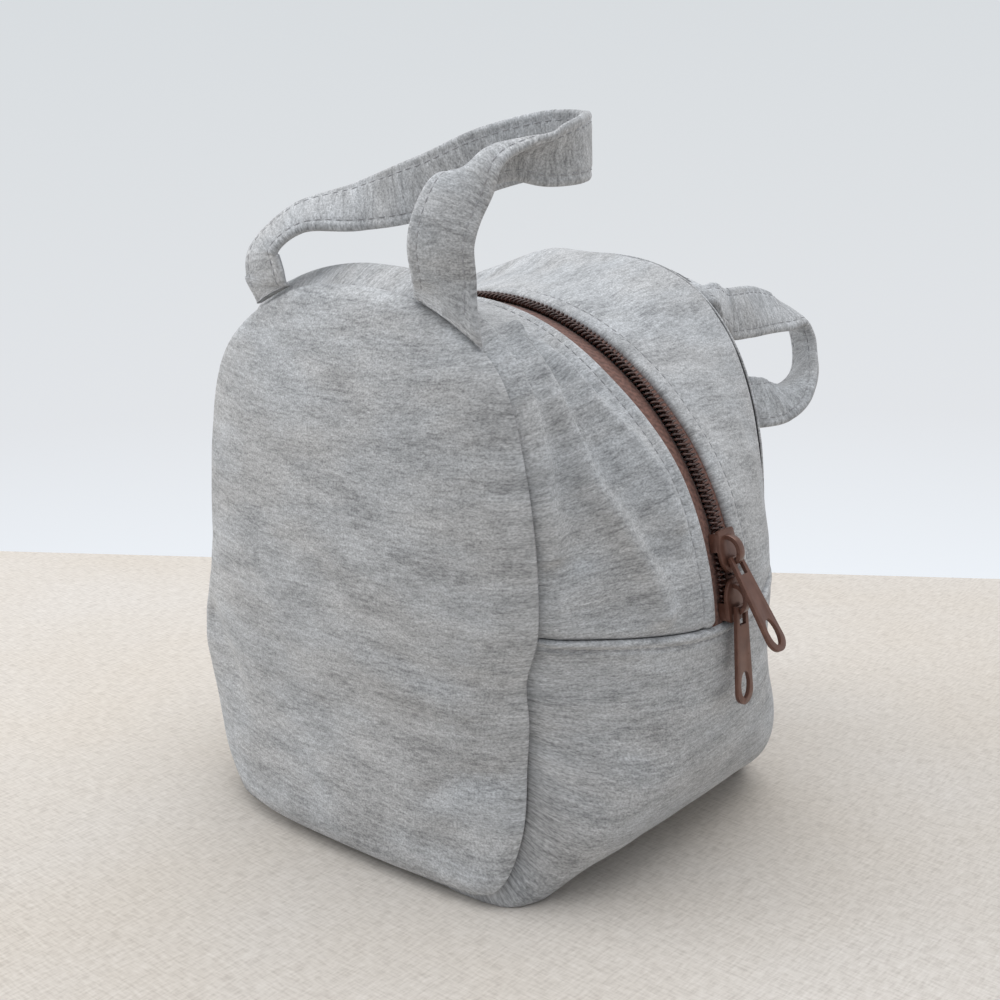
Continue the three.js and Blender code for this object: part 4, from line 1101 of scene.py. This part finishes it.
def jersey_material():
    """Heathered jersey: pale grey with fine level streaks, a knit's ribs, loops and some fuzz."""
    made, tree = start_material("heather_jersey")
    streak = grain(tree, 380, 1250, 4.0, 0.65)
    long_streak = grain(tree, 110, 750)
    patch = grain(tree, 45, 150)
    fleck = grain(tree, 1500, 2100, 2.0, 0.6)
    cloud = grain(tree, 24, 60, 3.0)
    shares = ((streak, 0.5), (long_streak, 0.22), (patch, 0.28))
    layers = [math(tree, "MULTIPLY", layer, share) for layer, share in shares]
    tone = math(tree, "ADD", math(tree, "ADD", layers[0], layers[1]), layers[2])
    base = ramp(tree, tone, [(0.36, (0.288, 0.291, 0.295)), (0.45, (0.402, 0.406, 0.411)),
                             (0.50, (0.455, 0.460, 0.466)), (0.56, (0.515, 0.521, 0.528)),
                             (0.65, (0.600, 0.607, 0.616))])
    flecks = ramp(tree, fleck, [(0.30, 0.74), (0.5, 1.0), (0.70, 1.20)])
    tint = ramp(tree, cloud, [(0.38, (1.01, 1.0, 0.99)), (0.62, (0.99, 1.0, 1.01))])
    colour = mixed(tree, 1.0, mixed(tree, 1.0, base, flecks, "MULTIPLY"), tint, "MULTIPLY")
    wales = put(tree, "TexWave", {
        "Vector": cloth_map(tree), "Scale": RIBS_A_METRE / 6.2832, "Distortion": 1.2,
        "Detail": 1.0, "Detail Scale": 3.0,
    }, bands_direction="X")
    ribs = math(tree, "MULTIPLY", wales.outputs["Fac"], 0.3)
    lumps = math(tree, "ADD", math(tree, "ADD", ribs, fleck), streak)
    return dress(made, colour, 0.95, (lumps, 0.3, 0.00035), Specular_IOR_Level=0.12,
                 Sheen_Weight=0.18, Sheen_Roughness=0.55)


jersey = jersey_material()
print("jersey nodes", len(jersey.node_tree.nodes))

# %% [markdown]
# ## Thread, skin, tape, nylon and paint
# The other surfaces are plain, but one flat colour each would look like plastic. A little noise in
# the colour, the gloss and the bumps tells thread, crinkled skin, woven tape, wound nylon and
# painted metal apart.


# %% Plain materials
def two_tone(name, scale, stops, roughness):
    """Material whose colour wanders between two tones along the piece: thread or dyed nylon."""
    made, tree = start_material(name)
    return dress(made, ramp(tree, object_noise(tree, scale), stops), roughness)


def lining_material():
    """Wipe-clean skin: pale, a little glossy, softly crinkled."""
    made, tree = start_material("wipe_clean_skin")
    crinkle = grain(tree, 90, 90, 4.0, 0.6)
    colour = ramp(tree, crinkle, [(0.3, (0.56, 0.57, 0.58)), (0.7, (0.66, 0.67, 0.68))])
    return dress(made, colour, 0.42, (crinkle, 0.4, 0.0008))


def tape_material():
    """Brown woven tape: a fine twill of two browns under its fuzz."""
    made, tree = start_material("zip_tape")
    weave = put(tree, "TexWave", {
        "Vector": cloth_map(tree), "Scale": 230.0, "Distortion": 0.6, "Detail": 1.0,
    }, bands_direction="DIAGONAL").outputs["Fac"]
    fuzz = math(tree, "MULTIPLY", grain(tree, 900, 900), 0.85)
    both = math(tree, "ADD", math(tree, "MULTIPLY", weave, 0.15), fuzz)
    colour = ramp(tree, both, [(0.3, (0.105, 0.046, 0.034)), (0.7, (0.230, 0.110, 0.082))])
    return dress(made, colour, 0.9, (both, 0.5, 0.0003), Sheen_Weight=0.2)


def paint_material():
    """Brown paint on pressed metal: even, glossy, a little worn in scattered spots."""
    made, tree = start_material("painted_metal")
    stops = [(0.3, (0.128, 0.060, 0.043)), (0.7, (0.180, 0.088, 0.064))]
    colour = ramp(tree, object_noise(tree, 260, 3.0), stops)
    wear = {"Value": object_noise(tree, 700, 3.0), "To Min": 0.24, "To Max": 0.38}
    rough = put(tree, "MapRange", wear).outputs[0]
    return dress(made, colour, rough, (object_noise(tree, 1500), 0.08, 0.0002), Metallic=0.35)


greys = [(0.3, (0.30, 0.30, 0.31)), (0.7, (0.42, 0.42, 0.43))]
thread = two_tone("thread", 1500, greys, 0.6)
skin, tape_cloth = lining_material(), tape_material()
browns = [(0.35, (0.032, 0.012, 0.009)), (0.65, (0.080, 0.030, 0.021))]
nylon = two_tone("zip_coil", 900, browns, 0.32)
paint = paint_material()
print("plain finishes", [made.name for made in (thread, skin, tape_cloth, nylon, paint)])

# %% Materials on the pieces
threads = (*zip_threads.values(), cross_threads, *handle_threads.values())
jerseys = (*panels.values(), *zip_gussets.values(), lower_cloth, *handles.values())
for pieces, material in ((jerseys, jersey), (threads, thread), (linings.values(), skin),
                         (tapes.values(), tape_cloth), (coils.values(), nylon),
                         (metal.values(), paint)):
    for piece in pieces:
        piece.data.materials.clear()
        piece.data.materials.append(material)
print("materials", len(bpy.data.materials))

# %% [markdown]
# ## What each piece rides on
# The metal parts and the lower gusset are each on one body. Cloth that crosses the mouth's fold
# could be cut there as the solids are, but cloth bends; here that cloth and the straps only have
# their placement baked into their points.

# %% Riding and baking
HALF_NORMALS = {"front": np.array([0, -0.4285, 0.9036]), "back": np.array([0, 0.4285, 0.9036])}
BELOW_HINGE, ABOVE_HINGE = 6, 34
for side, sign in SIDES:
    hinge = np.array([0, sign * AXIS_Y, HINGE_Z])
    end = (hinge + ABOVE_HINGE * HALF_NORMALS[side]) * MM
    crossing = (panels[side], zip_gussets[side], zip_threads[side], linings[f"{side}_face"],
                linings[f"{side}_zip"], tapes[side], coils[side])
    for piece in crossing:
        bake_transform(piece)
for piece in (handles["front"], handle_threads["front"]):
    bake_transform(piece)
for piece in (handles["back"], handle_threads["back"]):
    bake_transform(piece)
for piece in (lower_cloth, cross_threads, linings["lower"]):
    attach(piece, "bag")
for name, piece in metal.items():
    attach(piece, name)

# %% Hiding the frame's pieces that are built again
parts = ("arch", "right_end", "left_end")
for side in ("front", "back"):
    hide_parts(f"{side}_panel_upper", f"{side}_panel_lower")
    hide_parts(f"{side}_panel_upper_lining", f"{side}_panel_lower_lining")
    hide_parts(*(f"{side}_zip_gusset_{part}" for part in parts))
    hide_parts(*(f"{side}_zip_gusset_{part}_lining" for part in parts))
    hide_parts(*(f"{side}_zip_tape_{part}" for part in parts))
    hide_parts(*(f"{side}_coil_{part}" for part in parts))
    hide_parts(f"{side}_handle")
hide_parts("lower_gusset")
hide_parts("lower_gusset_lining")
for name, piece in metal.items():
    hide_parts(name)
print("pieces", len(jerseys) + len(threads) + len(linings) + len(tapes) + len(coils) + len(metal))

# %% [markdown]
# ## Table
# The bag stands on a pale cream cloth. A plain colour would leave it without scale, so two
# stretched noises cross as threads do, under a faint cloudiness. The far edge is turned a little,
# because the photograph's edge isn't level.

# %% Table
FAR_LEFT, FAR_RIGHT, REACH, BEHIND_CAMERA, BELOW_BAG = 1.11, 0.26, 3, -2, 0.0002


def stage_material():
    """Cream table cloth: two sets of threads, a cloudy tone and a low bump."""
    made, tree = start_material("table_cloth")
    place = put(tree, "TexCoord").outputs["Object"]
    sets = [speckle(tree, scaled(tree, place, size), 1, 3, 0.6)
            for size in ((180, 1100, 1), (1100, 180, 1))]
    weave = math(tree, "MULTIPLY", math(tree, "ADD", *sets), 0.5)
    fine = ramp(tree, weave, [(0.3, (0.50, 0.455, 0.41)), (0.5, (0.645, 0.598, 0.545)),
                              (0.7, (0.745, 0.70, 0.65))])
    clouds = object_noise(tree, 9.0, 3.0)
    tone = ramp(tree, clouds, [(0.35, (0.97, 0.95, 0.92)), (0.65, (1.0, 1.0, 1.0))])
    return dress(made, mixed(tree, 1.0, fine, tone, "MULTIPLY"), 0.9, (weave, 0.3, 0.0006))


def table_corner(across, away):
    """Point on the table, measured from under the camera along and across its view."""
    flat_back = np.array([back[0], back[1], 0]) / np.hypot(back[0], back[1])
    foot = CAMERA_PLACE * [1, 1, 0] - [0, 0, BELOW_BAG]
    return tuple(foot + across * level - away * flat_back)


corners = [table_corner(-REACH, BEHIND_CAMERA), table_corner(REACH, BEHIND_CAMERA),
           table_corner(REACH, FAR_RIGHT), table_corner(-REACH, FAR_LEFT)]
mesh = bpy.data.meshes.new("table")
mesh.from_pydata(corners, [], [(0, 1, 2, 3)])
mesh.materials.append(stage_material())
linked("table", mesh)
print("table corners", np.round(corners, 2).tolist())

# %% [markdown]
# ## Wall and light
# Behind the table is a pale wall. A plane would cast light and shade of its own, so the wall is
# the world's colour for camera rays alone, and other rays see a dimmer grey. One large soft light
# hangs above and a little behind the bag, and a smaller one stands at its left.

# %% Wall
world = bpy.data.worlds.new("studio")
bpy.context.scene.world = world
world.use_nodes = True
tree = world.node_tree
rays = put(tree, "LightPath").outputs
indirect = math(tree, "MAXIMUM", rays["Is Glossy Ray"], rays["Is Transmission Ray"])
seen = math(tree, "MAXIMUM", rays["Is Camera Ray"], indirect)
way = put(tree, "TexCoord").outputs["Generated"]
height = put(tree, "SeparateXYZ", {0: way}).outputs["Z"]
climb = {"Value": height, "From Min": -0.30, "From Max": 0.08}
# Painted light on the wall: lighter just above the table, darker higher up.
wall = ramp(tree, put(tree, "MapRange", climb).outputs[0], [
    (0.0, (0.85, 0.89, 0.94)), (0.28, (0.765, 0.785, 0.815)), (0.65, (0.725, 0.750, 0.775)),
    (1.0, (0.690, 0.720, 0.745))])
shown = mixed(tree, seen, (0.505, 0.535, 0.575, 1), wall)
feed(tree, tree.nodes["Background"], {"Color": shown, "Strength": 1.0})
print("world nodes", len(tree.nodes))


# %% Lights
def soft_light(name, place, target, size, power, colour):
    """Square area light that looks at a target."""
    data = bpy.data.lights.new(name, "AREA")
    data.shape, data.size, data.energy, data.color = "SQUARE", size, power, colour
    made = linked(name, data)
    way = np.array(place) - np.array(target)
    made.location = place
    made.rotation_mode = "QUATERNION"
    made.rotation_quaternion = Vector(way).to_track_quat("Z", "Y")
    return made


soft_light("overhead", (-0.05, 0.2, 1.35), (0, 0, 0.1), 1.7, 15.5, (0.99, 0.985, 0.98))
soft_light("window", (-1.2, -0.65, 0.75), (0, 0, 0.08), 0.8, 8, (0.98, 0.99, 1.0))
bpy.context.scene.view_settings.view_transform = "Standard"
print("lights", [light.name for light in bpy.data.lights])
